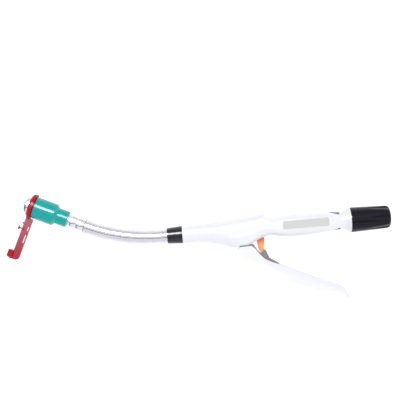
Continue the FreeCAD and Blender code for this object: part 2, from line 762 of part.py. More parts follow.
def lever_core():
    """Grey core: hub on the lever's pin, two prongs for the firing slide, slot for the latch."""
    top_y = PIVOT_Y + PRONG_LIFT
    outline = core_outline()
    outline += [(prong_front() + 0.6, top_y - 3.0), (prong_front() + 0.4, PIVOT_Y + 4.0)]
    body = plate(outline, CORE_HALF_WIDTH)
    body = body.fuse([cross_pin(HUB_RADIUS, PIVOT_X, PIVOT_Y, -CORE_HALF_WIDTH, CORE_HALF_WIDTH),
                      cross_pin(PRONG_RADIUS, PIVOT_X - 1.0, top_y, -CORE_HALF_WIDTH,
                                CORE_HALF_WIDTH),
                      plate([(prong_front() + 0.2, top_y - 3.2), (PIVOT_X + 1.2, top_y - 3.2),
                             (PIVOT_X + 1.2, top_y), (prong_front() + 0.2, top_y)],
                            CORE_HALF_WIDTH)])
    fork = SCREW_RADIUS + RUNNING_GAP + 0.3
    body = body.cut([
        block((-30, 10), (PIVOT_Y + HUB_RADIUS + 1.0, 20), (-fork, fork)),
        latch_slot(),
        cross_pin(PIVOT_PIN_RADIUS + 0.05, PIVOT_X, PIVOT_Y, -20, 20),
    ])
    return body.removeSplitter()


def latch_slot():
    """Slot in the core that the latch's tongue sinks into, open at its foot to the cover."""
    foot = LATCH_SLOT_FLOOR - LATCH_WELL_DEPTH
    well_rear = LATCH_SLOT_FRONT + LATCH_WELL_LENGTH
    rear = LATCH_X + LATCH_LENGTH + LATCH_ROOT_WIDTH
    return plate([(LATCH_SLOT_FRONT, LATCH_Y), (LATCH_SLOT_FRONT, foot), (well_rear, foot),
                  (well_rear + LATCH_WELL_DEPTH, LATCH_SLOT_FLOOR), (rear, LATCH_SLOT_FLOOR),
                  (rear, LATCH_Y)], CORE_SLOT)


def lever_cover():
    """White cover of the lever, a channel that is open towards the handle and ribbed inside."""
    room = plate(core_outline(), CORE_HALF_WIDTH + SEAT_GAP)
    return lever_form().cut([lever_hollow(), room])


# Safety latch

def safety_latch():
    """Orange tongue that hangs from its pin and sinks into the lever's slot."""
    root = LATCH_ROOT_WIDTH / 2
    tip = LATCH_TIP_WIDTH / 2
    end = LATCH_Y - LATCH_LENGTH
    tongue = plate([(LATCH_X - root + 0.4, LATCH_Y), (LATCH_X - root + 0.6, LATCH_Y - 6),
                    (LATCH_X - tip - 0.9, end + 4), (LATCH_X - tip - 0.4, end + 1.4),
                    (LATCH_X - 1.2, end), (LATCH_X + 0.6, end), (LATCH_X + tip - 0.4, end + 1.6),
                    (LATCH_X + tip + 0.2, end + 7), (LATCH_X + root - 0.4, LATCH_Y - 5),
                    (LATCH_X + root - 1.0, LATCH_Y)], LATCH_HALF_WIDTH)
    hub = cross_pin(LATCH_HUB_RADIUS, LATCH_X, LATCH_Y, -CORE_HALF_WIDTH, CORE_HALF_WIDTH)
    return tongue.fuse(hub).cut(cross_pin(LATCH_PIN_RADIUS + 0.05, LATCH_X, LATCH_Y, -20, 20))


# Head

CASING_START = FERRULE_START + FERRULE_LENGTH + SEAT_GAP
CASING_BARREL = CASING_START + NECK_LENGTH + SHOULDER_LENGTH
CASING_MOUTH = CASING_BARREL + CASING_LENGTH
SPIGOT_RADIUS = NECK_OUTER - CASING_WALL - SEAT_GAP
GUIDE_RING_RADIUS = CASING_RADIUS - CASING_WALL - SEAT_GAP
STAPLE_CROWN = CASING_MOUTH - 0.4 - FIRING_STROKE
PUSHER_FACE = STAPLE_CROWN - STAPLE_WIRE
PUSHER_FRONT = CASING_MOUTH - GUIDE_RING_LENGTH - FIRING_STROKE - SLIDE_GAP
DRIVER_OUTER = PUSH_TUBE_RADIUS + RUNNING_GAP + SLIDE_TUBE_WALL
STEM_REAR = CASING_MOUTH - STEM_REACH
CLIP_FACE = CASING_MOUTH + CLIP_GAP
ANVIL_FACE = CLIP_FACE + CLIP_THICKNESS + 0.6


def end_ferrule():
    """Polished ringed ferrule between the shaft and the casing, with a spigot for the casing."""
    end = FERRULE_START + FERRULE_LENGTH
    limits = [FERRULE_START] + [FERRULE_START + place for place in FERRULE_GROOVES] + [end]
    outline = []
    for start, stop in zip(limits, limits[1:]):
        low = start + FERRULE_GROOVE / 2
        high = stop - FERRULE_GROOVE / 2
        middle = (low + high) / 2
        outline += [(low, FERRULE_RADIUS - 0.55), (middle, FERRULE_RADIUS),
                    (high, FERRULE_RADIUS - 0.55)]
    spigot_end = end + SPIGOT_LENGTH
    bore = TUBE_RADIUS + SEAT_GAP
    stop_x = end - 1 + SEAT_GAP
    narrow = SPIGOT_RADIUS - SPIGOT_WALL
    outline = [(FERRULE_START, bore), (FERRULE_START, FERRULE_RADIUS - 0.55)] + outline
    outline += [(end, SPIGOT_RADIUS), (spigot_end, SPIGOT_RADIUS), (spigot_end, narrow),
                (stop_x, narrow), (stop_x, bore)]
    return on_head(turned(outline))


def casing():
    """Teal staple casing: neck, sloping shoulder and barrel, open at the mouth."""
    shoulder = CASING_START + NECK_LENGTH
    inner = CASING_RADIUS - CASING_WALL
    neck_inner = NECK_OUTER - CASING_WALL
    return on_head(turned([
        (CASING_START, neck_inner), (CASING_START, NECK_OUTER - 0.3), (CASING_START + 0.3, NECK_OUTER),
        (shoulder, NECK_OUTER), (CASING_BARREL, CASING_RADIUS), (CASING_MOUTH, CASING_RADIUS),
        (CASING_MOUTH, inner), (CASING_BARREL + 1.0, inner), (shoulder + 1.0, neck_inner),
    ]))


def staple_slot(radius, gap, start, end):
    """Block over one staple's place, standing on a row of the given radius."""
    half = STAPLE_WIDTH / 2 + gap
    thick = STAPLE_WIRE / 2 + gap
    return block((start, end), (-half, half), (radius - thick, radius + thick))


def both_rows(make):
    """Copies for the inner row and, half a step round, the outer row."""
    half_step = 180.0 / STAPLES_PER_ROW
    return around(make(INNER_ROW), STAPLES_PER_ROW) + around(make(OUTER_ROW), STAPLES_PER_ROW,
                                                            half_step)


def staple_guide():
    """White ring in the casing's mouth with a slot for each staple."""
    start = CASING_MOUTH - GUIDE_RING_LENGTH
    ring = pipe(GUIDE_RING_RADIUS, KNIFE_RADIUS + RUNNING_GAP, start, CASING_MOUTH - 0.4)
    slots = both_rows(lambda row: staple_slot(row, STAPLE_SLOT_GAP, start - 1, CASING_MOUTH + 1))
    return on_head(ring.cut(slots))


def staples():
    """Open staples waiting in the guide, crowns to the rear."""
    def staple(row):
        crown = staple_slot(row, 0, STAPLE_CROWN, STAPLE_CROWN + STAPLE_WIRE)
        half = STAPLE_WIDTH / 2
        legs = [block((STAPLE_CROWN, STAPLE_CROWN + STAPLE_LEG),
                      sorted((side * half, side * (half - STAPLE_WIRE))),
                      (row - STAPLE_WIRE / 2, row + STAPLE_WIRE / 2)) for side in (-1, 1)]
        return crown.fuse(legs).removeSplitter()
    return on_head(Part.makeCompound(both_rows(staple)))


def staple_pusher():
    """Ring of fingers behind the staples."""
    base = pipe(GUIDE_RING_RADIUS - RUNNING_GAP, DRIVER_OUTER + SEAT_GAP,
                PUSHER_FRONT - PUSHER_BASE, PUSHER_FRONT)
    lip = pipe(DRIVER_OUTER + SEAT_GAP + 0.2, STEM_RADIUS + SLIDE_GAP,
               PUSHER_FRONT - PUSHER_LIP, PUSHER_FRONT)
    fingers = both_rows(lambda row: staple_slot(row, 0, PUSHER_FRONT - 1, PUSHER_FACE - SEAT_GAP))
    return on_head(base.fuse([lip] + fingers).removeSplitter())


def driver_tube():
    """Tube that slides on the push tube and carries the pusher and the knife."""
    end = PUSHER_FRONT - PUSHER_LIP - SEAT_GAP
    inner = PUSH_TUBE_RADIUS + RUNNING_GAP
    return on_head(pipe(DRIVER_OUTER, inner, TROCAR_SHANK_START - 1.0, end))


def circular_knife():
    """Ring knife inside the staple rows, sharpened from the outside."""
    start = PUSHER_FRONT + SEAT_GAP
    edge = CASING_MOUTH - 1.6
    inner = KNIFE_RADIUS - KNIFE_WALL
    return on_head(turned([(start, DRIVER_OUTER), (start, KNIFE_RADIUS), (edge - 1.0, KNIFE_RADIUS),
                           (edge, inner + 0.05), (edge, inner), (start + 0.6, inner),
                           (start + 0.6, DRIVER_OUTER)]))


def trocar():
    """Rod that grips the pull band and carries the anvil's stem on its spike."""
    shoulder = STEM_REAR - RUNNING_GAP
    spike = STEM_RADIUS - STEM_WALL - RUNNING_GAP
    body = turned([(TROCAR_SHANK_START, 0), (TROCAR_SHANK_START, SCREW_RADIUS),
                   (shoulder, SCREW_RADIUS), (shoulder, spike),
                   (shoulder + SPIKE_LENGTH - SPIKE_POINT, spike), (shoulder + SPIKE_LENGTH, 0.3),
                   (shoulder + SPIKE_LENGTH, 0)])
    slot = band_slot(TROCAR_SHANK_START - 1, TROCAR_SHANK_START + OPENING_STROKE + 6.0)
    return on_head(body.cut(slot))


def anvil_stem():
    """Hollow stem under the anvil, with a collar where the washer seats."""
    body = rod(STEM_RADIUS, STEM_REAR, ANVIL_FACE + 4.0)
    bore = rod(STEM_RADIUS - STEM_WALL, STEM_REAR - 1, ANVIL_FACE - 2.0)
    return on_head(body.cut(bore))


def dome_points():
    """Half outline of the anvil's dome from its rim to its apex."""
    steps = 8
    points = []
    height = ANVIL_HEIGHT - ANVIL_RIM
    for index in range(1, steps + 1):
        angle = math.pi / 2 * index / steps
        points.append((ANVIL_FACE + ANVIL_RIM + height * math.sin(angle),
                       ANVIL_RADIUS * math.cos(angle)))
    return points


def anvil_cap():
    """Domed steel anvil with a ring of staple pockets and a recess for its washer."""
    recess = ANVIL_FACE + ANVIL_WASHER_THICKNESS + SEAT_GAP
    hub_end = ANVIL_FACE + 4.0 + SEAT_GAP
    stem = STEM_RADIUS + 0.05
    body = turned([(hub_end, 0), (hub_end, stem), (recess, stem),
                   (recess, ANVIL_WASHER_OUTER + SEAT_GAP),
                   (ANVIL_FACE, ANVIL_WASHER_OUTER + SEAT_GAP), (ANVIL_FACE, ANVIL_RADIUS - 0.3),
                   (ANVIL_FACE + 0.3, ANVIL_RADIUS), (ANVIL_FACE + ANVIL_RIM, ANVIL_RADIUS)]
                  + dome_points())
    pockets = both_rows(lambda row: staple_slot(row, STAPLE_SLOT_GAP, ANVIL_FACE - 1,
                                                ANVIL_FACE + POCKET_DEPTH))
    return on_head(body.cut(pockets))


def anvil_washer():
    """Plastic washer that the knife cuts into."""
    return on_head(pipe(ANVIL_WASHER_OUTER, STEM_RADIUS + SEAT_GAP, ANVIL_FACE,
                        ANVIL_FACE + ANVIL_WASHER_THICKNESS))


def transport_clip():
    """Red clip that keeps the anvil off the casing: an open ring with an arm and a finger tab."""
    back = CLIP_FACE + CLIP_THICKNESS
    front = CLIP_FACE
    taper = 1.4
    web_x = back - CLIP_WEB
    rim = turned([(front, CLIP_RADIUS - CLIP_WALL), (front, CLIP_RADIUS), (back - taper, CLIP_RADIUS),
                  (back, CLIP_RADIUS - taper), (back, CLIP_RADIUS - CLIP_WALL - taper)])
    hub_inner = STEM_RADIUS + 0.6
    hub = pipe(hub_inner + CLIP_HUB_WALL, hub_inner, front, back)
    web = pipe(CLIP_RADIUS - CLIP_WALL, hub_inner, web_x, back)
    ring = rim.fuse([hub, web])
    half = CLIP_ARM_THICKNESS / 2
    arm_start = CLIP_RADIUS - CLIP_WALL + 0.3
    arm_rear = back - CLIP_ARM_WIDTH
    arm = plate([(back, arm_start), (front, arm_start), (arm_rear, arm_start + 0.6),
                 (arm_rear, CLIP_ARM_END - 4.0), (arm_rear + 1.2, CLIP_ARM_END - 1.2),
                 (arm_rear + 4.0, CLIP_ARM_END), (back + 1.0, CLIP_ARM_END),
                 (back + 1.0, CLIP_ARM_END - CLIP_TAB_LENGTH), (back, CLIP_ARM_END - CLIP_TAB_LENGTH)],
                half)
    tab_low = CLIP_ARM_END - CLIP_TAB_LENGTH
    tab = plate([(back - 0.8, tab_low), (back + CLIP_TAB_DEPTH, tab_low),
                 (back + CLIP_TAB_DEPTH, CLIP_ARM_END - 1.0), (back + 1.0, CLIP_ARM_END),
                 (back - 0.8, CLIP_ARM_END)], CLIP_TAB_HALF_WIDTH)
    peg = Part.makeCylinder(CLIP_PEG_RADIUS, 3.4, vector(back - 0.4, CLIP_PEG_PLACE), X_AXIS)
    head = Part.makeCylinder(CLIP_PEG_HEAD, 1.8, vector(back + 2.8, CLIP_PEG_PLACE), X_AXIS)
    body = ring.fuse([arm, tab, peg, head])
    slot_x = arm_rear + 1.6
    for start, end in CLIP_SLOTS:
        body = body.cut(block((slot_x, slot_x + CLIP_SLOT_WIDTH), (start, end), (-20, 20)))
    mouth = block((front - 1, back + 1), (-30, 0), (-hub_inner, hub_inner))
    return on_head(body.cut(mouth).removeSplitter())


def build():
    whole = housing()
    knob, cap_radius, knob_rear = adjusting_knob()
    return {
        "left_shell": shell(1, whole),
        "right_shell": shell(-1, whole),
        "label_plate": label_plate(),
        "shell_screws": shell_screws(),
        "shaft_collar": shaft_collar(),
        "shaft_tube": shaft_tube(),
        "clear_sleeve": clear_sleeve(),
        "push_tube": push_tube(),
        "pull_band": pull_band(),
        "end_ferrule": end_ferrule(),
        "casing": casing(),
        "staple_guide": staple_guide(),
        "staples": staples(),
        "staple_pusher": staple_pusher(),
        "driver_tube": driver_tube(),
        "circular_knife": circular_knife(),
        "trocar": trocar(),
        "anvil_stem": anvil_stem(),
        "anvil_cap": anvil_cap(),
        "anvil_washer": anvil_washer(),
        "transport_clip": transport_clip(),
        "adjusting_knob": knob,
        "knob_end_cap": knob_end_cap(cap_radius, knob_rear),
        "knob_sleeve": knob_sleeve(),
        "drive_nut": drive_nut(),
        "thrust_washer": thrust_washer(),
        "drive_screw": drive_screw(),
        "screw_guide": screw_guide(),
        "firing_slide": firing_slide(),
        "return_spring": return_spring(),
        "lever_pin": lever_pin(),
        "lever_core": lever_core(),
        "lever_cover": lever_cover(),
        "latch_pin": latch_pin(),
        "safety_latch": safety_latch(),
    }


os.makedirs("parts", exist_ok=True)
for node, shape in build().items():
    lifted = shape.copy()
    lifted.translate(vector(0, 0, HALF_WIDTH))
    lifted.exportStep("parts/" + node + ".step")
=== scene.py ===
"""Looks of a circular stapler that lies on the cheek of its handle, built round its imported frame."""

import json
import logging
import math
from collections.abc import Callable, Iterable
from dataclasses import dataclass, field
from enum import Enum

import bmesh
import bpy
from mathutils import Matrix, Vector

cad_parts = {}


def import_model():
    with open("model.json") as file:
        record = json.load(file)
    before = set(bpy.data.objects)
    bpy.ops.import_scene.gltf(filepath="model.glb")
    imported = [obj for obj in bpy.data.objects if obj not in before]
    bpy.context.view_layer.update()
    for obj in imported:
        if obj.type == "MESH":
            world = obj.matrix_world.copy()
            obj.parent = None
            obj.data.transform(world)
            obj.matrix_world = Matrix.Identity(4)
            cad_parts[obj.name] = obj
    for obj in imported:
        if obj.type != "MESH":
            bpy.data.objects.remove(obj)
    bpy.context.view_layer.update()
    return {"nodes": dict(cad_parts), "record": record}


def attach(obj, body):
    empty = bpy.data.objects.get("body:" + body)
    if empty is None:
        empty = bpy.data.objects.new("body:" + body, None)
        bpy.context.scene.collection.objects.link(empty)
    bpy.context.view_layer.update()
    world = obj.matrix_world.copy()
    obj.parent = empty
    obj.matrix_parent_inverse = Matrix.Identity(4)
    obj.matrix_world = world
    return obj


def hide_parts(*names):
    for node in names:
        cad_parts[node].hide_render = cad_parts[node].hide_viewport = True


LOG = logging.getLogger("stapler")

# Metres in a millimetre, and the distance in metres at which points merge.
MM = 0.001
MERGE = 2e-6

# In millimetres: a distance that counts as none, how far a cutter runs past the face that it
# opens, and a reach past every side.
NEAR = 1e-3
PAST = 1.0
FAR = 60.0
THROUGH = (-FAR, FAR)

# Two shares closer than this are the same.
SAME = 1e-6

Spot = tuple[float, float, float]
Pair = tuple[float, float]
Colour = tuple[float, float, float]


# Finishes

# Features per metre and detail of the slow noises by which colour and gloss drift, then the
# depth in metres and the detail of the relief.
DRIFT = {"Scale": 38.0, "Detail": 3.0}
SPOTS = {"Scale": 160.0, "Detail": 4.0}
RELIEF_DEPTH = 0.00003
RELIEF_DETAIL = 2.0
RING_WOBBLE = 1.5
BRUSH_STRETCH = (0.04, 1.0, 1.0)
COAT_ROUGHNESS = 0.05
SCATTER = {"Subsurface Scale": 0.002, "Subsurface Radius": (1.0, 0.6, 0.4)}


def set_sockets(node: bpy.types.Node, sockets: dict[str, object]) -> None:
    """Set constants on a node's own sockets."""
    for name, value in sockets.items():
        node.inputs[name].default_value = value


def add_node(tree: bpy.types.NodeTree, kind: str, sources: dict[str | int, bpy.types.NodeSocket],
             sockets: dict[str, object] | None = None, **settings: object) -> bpy.types.Node:
    """Add a shader node and link it.

    Args:
        tree: The tree that it joins.
        kind: Blender's name for the node's type, without its prefix.
        sources: Output to link to each input.
        sockets: Constants for other inputs.
        settings: Values to set on the node itself.

    Returns:
        The new node.
    """
    node = tree.nodes.new("ShaderNode" + kind)
    for key, value in settings.items():
        setattr(node, key, value)
    set_sockets(node, sockets or {})
    for name, source in sources.items():
        tree.links.new(source, node.inputs[name])
    return node


class Grain(Enum):
    """Kinds of fine surface relief."""

    MOULDED = "moulded"
    TURNED = "turned"
    BRUSHED = "brushed"


@dataclass(frozen=True)
class Finish:
    """One surface finish, written as a node material on Object coordinates.

    Attributes:
        name: Name of the finish, which is also its slot in the record, apart from variants.
        colour: Main colour, linear.
        shade: Second colour that the main one drifts to in soft patches.
        roughness: Middle roughness.
        spread: How far roughness drifts each way.
        metallic: 1 for bare metal.
        specular: Strength of the plain gloss, 0.5 for most plastics.
        coat: Weight of the clear coat.
        grain: Kind of relief.
        grain_scale: Features per metre.
        bump: Strength of the relief.
        alpha: 1 where opaque.
        subsurface: Share of light scattered under the surface.
        fade: Y of the pure main colour and Y of the pure second one, in metres, where the
        one goes over into the other instead of drifting, which paints light and shade along Y.
    """

    name: str
    colour: Colour
    shade: Colour
    roughness: float = 0.35
    spread: float = 0.05
    metallic: float = 0.0
    specular: float = 0.5
    coat: float = 0.0
    grain: Grain = Grain.MOULDED
    grain_scale: float = 2200.0
    bump: float = 0.05
    alpha: float = 1.0
    subsurface: float = 0.0
    fade: Pair | None = None

    def material(self) -> bpy.types.Material:
        """Build the finish's material.

        Returns:
            The new material.
        """
        mat = bpy.data.materials.new("finish_" + self.name)
        mat.use_nodes = True
        tree = mat.node_tree
        shader = tree.nodes["Principled BSDF"]
        set_sockets(shader, {
            "Metallic": self.metallic, "Specular IOR Level": self.specular,
            "Coat Weight": self.coat, "Coat Roughness": COAT_ROUGHNESS,
            "Alpha": self.alpha, "Subsurface Weight": self.subsurface})
        if self.subsurface:
            set_sockets(shader, SCATTER)
        place = tree.nodes.new("ShaderNodeTexCoord").outputs["Object"]

        blend = add_node(tree, "Mix", {"Factor": self._drift(tree, place)},
                         {"A": (*self.colour, 1.0), "B": (*self.shade, 1.0)}, data_type="RGBA")
        tree.links.new(blend.outputs["Result"], shader.inputs["Base Color"])

        spots = add_node(tree, "TexNoise", {"Vector": place}, SPOTS)
        gloss = add_node(tree, "MapRange", {"Value": spots.outputs["Fac"]},
                         {"To Min": self.roughness - self.spread,
                          "To Max": self.roughness + self.spread})
        tree.links.new(gloss.outputs["Result"], shader.inputs["Roughness"])

        relief = add_node(tree, "Bump", {"Height": self._relief(tree, place)},
                          {"Strength": self.bump, "Distance": RELIEF_DEPTH})
        tree.links.new(relief.outputs["Normal"], shader.inputs["Normal"])
        return mat

    def _drift(self, tree: bpy.types.NodeTree, place: bpy.types.NodeSocket) -> bpy.types.NodeSocket:
        """Add what leads from the main colour to the second one.

        Args:
            tree: The material's tree.
            place: The socket that carries the place on the piece.

        Returns:
            The socket that carries the second colour's share.
        """
        if not self.fade:
            return add_node(tree, "TexNoise", {"Vector": place}, DRIFT).outputs["Fac"]
        # A fade paints light and shade: the colour goes over into the second one along Y.
        axes = add_node(tree, "SeparateXYZ", {"Vector": place})
        first, second = self.fade
        along = add_node(tree, "MapRange", {"Value": axes.outputs["Y"]},
                         {"From Min": first, "From Max": second})
        return along.outputs["Result"]

    def _relief(self, tree: bpy.types.NodeTree, place: bpy.types.NodeSocket) -> bpy.types.NodeSocket:
        """Add the relief's texture.

        Args:
            tree: The material's tree.
            place: The socket that carries the place on the piece.

        Returns:
            The socket that carries the height.
        """
        if self.grain is Grain.TURNED:
            rings = add_node(tree, "TexWave", {"Vector": place},
                             {"Scale": self.grain_scale, "Distortion": RING_WOBBLE},
                             wave_type="BANDS", bands_direction="X")
            return rings.outputs["Fac"]
        if self.grain is Grain.BRUSHED:
            place = add_node(tree, "Mapping", {"Vector": place},
                             {"Scale": BRUSH_STRETCH}).outputs["Vector"]
        fine = add_node(tree, "TexNoise", {"Vector": place},
                        {"Scale": self.grain_scale, "Detail": RELIEF_DETAIL})
        return fine.outputs["Fac"]


WHITE = (0.83, 0.835, 0.86)
WHITE_SHADE = (0.815, 0.82, 0.85)
FINISHES = (
    Finish("white_shell", WHITE, WHITE_SHADE, 0.3, 0.04, coat=0.2),
    Finish("white_lever", WHITE, WHITE_SHADE, 0.32, 0.04, coat=0.2),
    Finish("white_plastic", (0.8, 0.8, 0.79), (0.77, 0.77, 0.76), 0.45),
    Finish("label", (0.6, 0.6, 0.585), (0.58, 0.585, 0.57), 0.5, 0.03, specular=0.3, bump=0.03),
    Finish("steel", (0.58, 0.58, 0.6), (0.54, 0.54, 0.56), 0.25, 0.05, 1.0, grain=Grain.BRUSHED),
    Finish("polished_steel", (0.9, 0.89, 0.93), (0.87, 0.86, 0.91), 0.07, 0.01, 1.0,
           grain=Grain.BRUSHED, bump=0.01),
    Finish("black_plastic", (0.008, 0.007, 0.014), (0.006, 0.005, 0.011), 0.16, 0.04,
           specular=0.4, coat=0.3, bump=0.02),
    Finish("black_gloss", (0.006, 0.005, 0.011), (0.004, 0.0035, 0.008), 0.16, 0.03,
           specular=0.2, coat=0.05, bump=0.02),
    Finish("clear_sleeve", (0.9, 0.89, 0.94), (0.86, 0.85, 0.91), 0.05, 0.02, alpha=0.5,
           metallic=0.85, bump=0.01),
    # Painted shade: the dark line at the clear sleeve's cut end.
    Finish("clear_edge_painted_shade", (0.3, 0.29, 0.34), (0.26, 0.25, 0.3), 0.2, 0.04, alpha=0.75,
           bump=0.01),
    Finish("natural_plastic", (0.78, 0.78, 0.75), (0.74, 0.74, 0.71), 0.45),
    Finish("teal_plastic", (0.0005, 0.37, 0.34), (0.0004, 0.34, 0.31), 0.16, 0.03,
           specular=0.2, coat=0.45, bump=0.015),
    Finish("red_plastic", (0.5, 0.003, 0.013), (0.44, 0.002, 0.01), 0.22, 0.04,
           specular=0.15, coat=0.08, bump=0.02, subsurface=0.1),
    # Painted light on the clip's arm: paler red near the ring, falling off to a deeper red towards the
    # tab along Y.
    Finish("red_arm_painted_light", (0.45, 0.085, 0.14), (0.34, 0.004, 0.018), 0.25, 0.05,
           specular=0.35, coat=0.3, bump=0.02, subsurface=0.35, fade=(0.032, -0.008)),
    Finish("brass", (0.72, 0.5, 0.2), (0.66, 0.45, 0.17), 0.28, 0.05, 1.0, grain=Grain.TURNED),
    Finish("grey_plastic", (0.22, 0.205, 0.245), (0.2, 0.185, 0.225), 0.38, specular=0.35),
    # Painted shade: the orange goes over into a darker red towards the latch's top, where it enters
    # the handle.
    Finish("orange_plastic", (0.9, 0.4, 0.14), (0.8, 0.14, 0.06), 0.3, specular=0.35,
           subsurface=0.2, fade=(-0.02, -0.013)),
)


# Making meshes

def deselect() -> None:
    """Leave object mode clean, with nothing selected."""
    if bpy.context.object and bpy.context.object.mode != "OBJECT":
        bpy.ops.object.mode_set(mode="OBJECT")
    bpy.ops.object.select_all(action="DESELECT")


def metres(spot: Iterable[float]) -> tuple[float, ...]:
    """Turn millimetres into metres."""
    return tuple(value * MM for value in spot)


class Form:
    """One mesh under work: started from a primitive, shaped in edit mode, finished by modifiers.

    Places and sizes are millimetres, about the X axis of the piece.
    """

    def __init__(self, name: str) -> None:
        """Take over the primitive that was just added and open it for editing.

        Args:
            name: Name of the new piece.
        """
        self.piece = bpy.context.object
        self.rename(name)
        bpy.ops.object.transform_apply(location=True, rotation=True, scale=True)
        self.leave()
        bpy.ops.object.mode_set(mode="EDIT")
        bpy.ops.mesh.select_mode(type="VERT")

    def rename(self, name: str) -> None:
        """Name the piece and its mesh."""
        self.piece.name = name
        self.piece.data.name = name

    @classmethod
    def trace(cls, name: str, spots: list[Spot]) -> "Form":
        """Start from a small plane merged to one point, and extrude it from place to place.

        Args:
            name: Name of the new piece.
            spots: The places in order.

        Returns:
            The open outline.
        """
        deselect()
        bpy.ops.mesh.primitive_plane_add(size=MM, location=metres(spots[0]))
        form = cls(name)
        bpy.ops.mesh.select_all(action="SELECT")
        bpy.ops.mesh.merge(type="CENTER")
        for last, spot in zip(spots, spots[1:]):
            form.extrude(tuple(new - old for new, old in zip(spot, last)))
        return form

    @classmethod
    def ring(cls, name: str, count: int, x: float, radius: float) -> "Form":
        """Start from a ring of points about the X axis.

        Args:
            name: Name of the new piece.
            count: Number of points.
            x: Its place.
            radius: Its radius.

        Returns:
            The ring, all selected.
        """
        deselect()
        bpy.ops.mesh.primitive_circle_add(vertices=count, radius=radius * MM,
                                          location=(x * MM, 0, 0), rotation=(0, math.pi / 2, 0))
        form = cls(name)
        bpy.ops.mesh.select_all(action="SELECT")
        return form

    @classmethod
    def block(cls, name: str, x: Pair, y: Pair, z: Pair) -> "Form":
        """Start from a cube with the given low and high sides.

        Args:
            name: Name of the new piece.
            x: Its low and high side along X.
            y: The same along Y.
            z: The same along Z.

        Returns:
            The closed form.
        """
        deselect()
        middle = metres((low + high) / 2 for low, high in (x, y, z))
        bpy.ops.mesh.primitive_cube_add(size=1, location=middle)
        bpy.context.object.scale = metres(high - low for low, high in (x, y, z))
        return cls(name)

    @classmethod
    def rod(cls, name: str, radius: float, start: float, end: float, count: int = 64) -> "Form":
        """Start from a cylinder on the X axis.

        Args:
            name: Name of the new piece.
            radius: Its radius.
            start: Its low end.
            end: Its high end.
            count: Number of sides.

        Returns:
            The closed form.
        """
        deselect()
        bpy.ops.mesh.primitive_cylinder_add(
            vertices=count, radius=radius * MM, depth=(end - start) * MM,
            location=metres(((start + end) / 2, 0, 0)), rotation=(0, math.pi / 2, 0))
        return cls(name)

    @classmethod
    def pin(cls, name: str, radius: float, spot: Pair, low: float, high: float,
            count: int = 32) -> "Form":
        """Start from an upright cylinder.

        Args:
            name: Name of the new piece.
            radius: Its radius.
            spot: Its place in X and Y.
            low: Its lower end.
            high: Its upper end.
            count: Number of sides.

        Returns:
            The closed form.
        """
        deselect()
        bpy.ops.mesh.primitive_cylinder_add(
            vertices=count, radius=radius * MM, depth=(high - low) * MM,
            location=metres((*spot, (low + high) / 2)))
        return cls(name)

    def leave(self) -> None:
        """Close the mesh and leave it selected alone."""
        deselect()
        self.piece.select_set(True)
        bpy.context.view_layer.objects.active = self.piece

    def pick(self, mode: str, test: Callable[..., bool]) -> None:
        """Select what passes a test.

        Args:
            mode: VERT, EDGE or FACE.
            test: Tells whether a point, edge or face of the mesh is to be selected.
        """
        bpy.ops.mesh.select_mode(type=mode)
        bpy.ops.mesh.select_all(action="DESELECT")
        mesh = bmesh.from_edit_mesh(self.piece.data)
        for item in {"VERT": mesh.verts, "EDGE": mesh.edges, "FACE": mesh.faces}[mode]:
            item.select_set(bool(test(item)))
        if mode == "VERT":
            mesh.select_flush_mode()
        bmesh.update_edit_mesh(self.piece.data)

    def pick_points(self, test: Callable[[Vector], bool]) -> None:
        """Select the points whose place, in millimetres, passes the test."""
        self.pick("VERT", lambda point: test(point.co / MM))

    def pick_faces(self, test: Callable[[Vector, Vector], bool]) -> None:
        """Select the faces whose middle, in millimetres, and normal pass the test."""
        self.pick("FACE", lambda face: test(face.calc_center_median() / MM, face.normal))

    def pick_edges(self, test: Callable[[Vector, Vector], bool]) -> None:
        """Select the edges whose two ends, in millimetres, pass the test."""
        self.pick("EDGE", lambda edge: test(edge.verts[0].co / MM, edge.verts[1].co / MM))

    def picked(self) -> set[int]:
        """Indices of the selected points."""
        mesh = bmesh.from_edit_mesh(self.piece.data)
        return {point.index for point in mesh.verts if point.select}

    def pick_again(self, indices: set[int], test: Callable[[Vector], bool] | None = None) -> None:
        """Select points by their indices.

        Args:
            indices: The points' indices.
            test: Tells by its place, in millimetres, whether a point is kept, where not all are.
        """
        mesh = bmesh.from_edit_mesh(self.piece.data)
        for point in mesh.verts:
            kept = point.index in indices and (test is None or test(point.co / MM))
            point.select_set(kept)
        mesh.select_flush_mode()
        bmesh.update_edit_mesh(self.piece.data)

    def extrude(self, move: Spot) -> None:
        """Extrude what is selected by a move in millimetres."""
        bpy.ops.mesh.extrude_region_move(TRANSFORM_OT_translate={"value": metres(move)})

    def resize(self, factors: Spot, centre: Spot = (0, 0, 0)) -> None:
        """Resize what is selected about a centre."""
        bpy.ops.transform.resize(value=factors, center_override=metres(centre))

    def turn(self, degrees: float, centre: Spot = (0, 0, 0)) -> None:
        """Turn what is selected counter-clockwise about an upright axis through a centre.

        Args:
            degrees: How far.
            centre: The centre.
        """
        if degrees:
            bpy.ops.transform.rotate(value=-math.radians(degrees), orient_axis="Z",
                                     center_override=metres(centre))

    def close(self, first: Spot, last: Spot) -> None:
        """Join two loose points of an outline by an edge.

        Args:
            first: Place of one.
            last: Place of the other.
        """
        ends = (Vector(first), Vector(last))
        self.pick_points(lambda spot: any((spot - end).length < NEAR for end in ends))
        bpy.ops.mesh.edge_face_add()

    def spin(self, degrees: float, steps: int, centre: Spot = (0, 0, 0),
             axis: Spot = (1, 0, 0)) -> None:
        """Spin what is selected about an axis."""
        bpy.ops.mesh.spin(steps=steps, angle=math.radians(degrees), center=metres(centre),
                          axis=axis)

    def tidy(self) -> None:
        """Merge doubles and turn all faces outwards."""
        bpy.ops.mesh.select_all(action="SELECT")
        bpy.ops.mesh.remove_doubles(threshold=MERGE)
        bpy.ops.mesh.normals_make_consistent(inside=False)

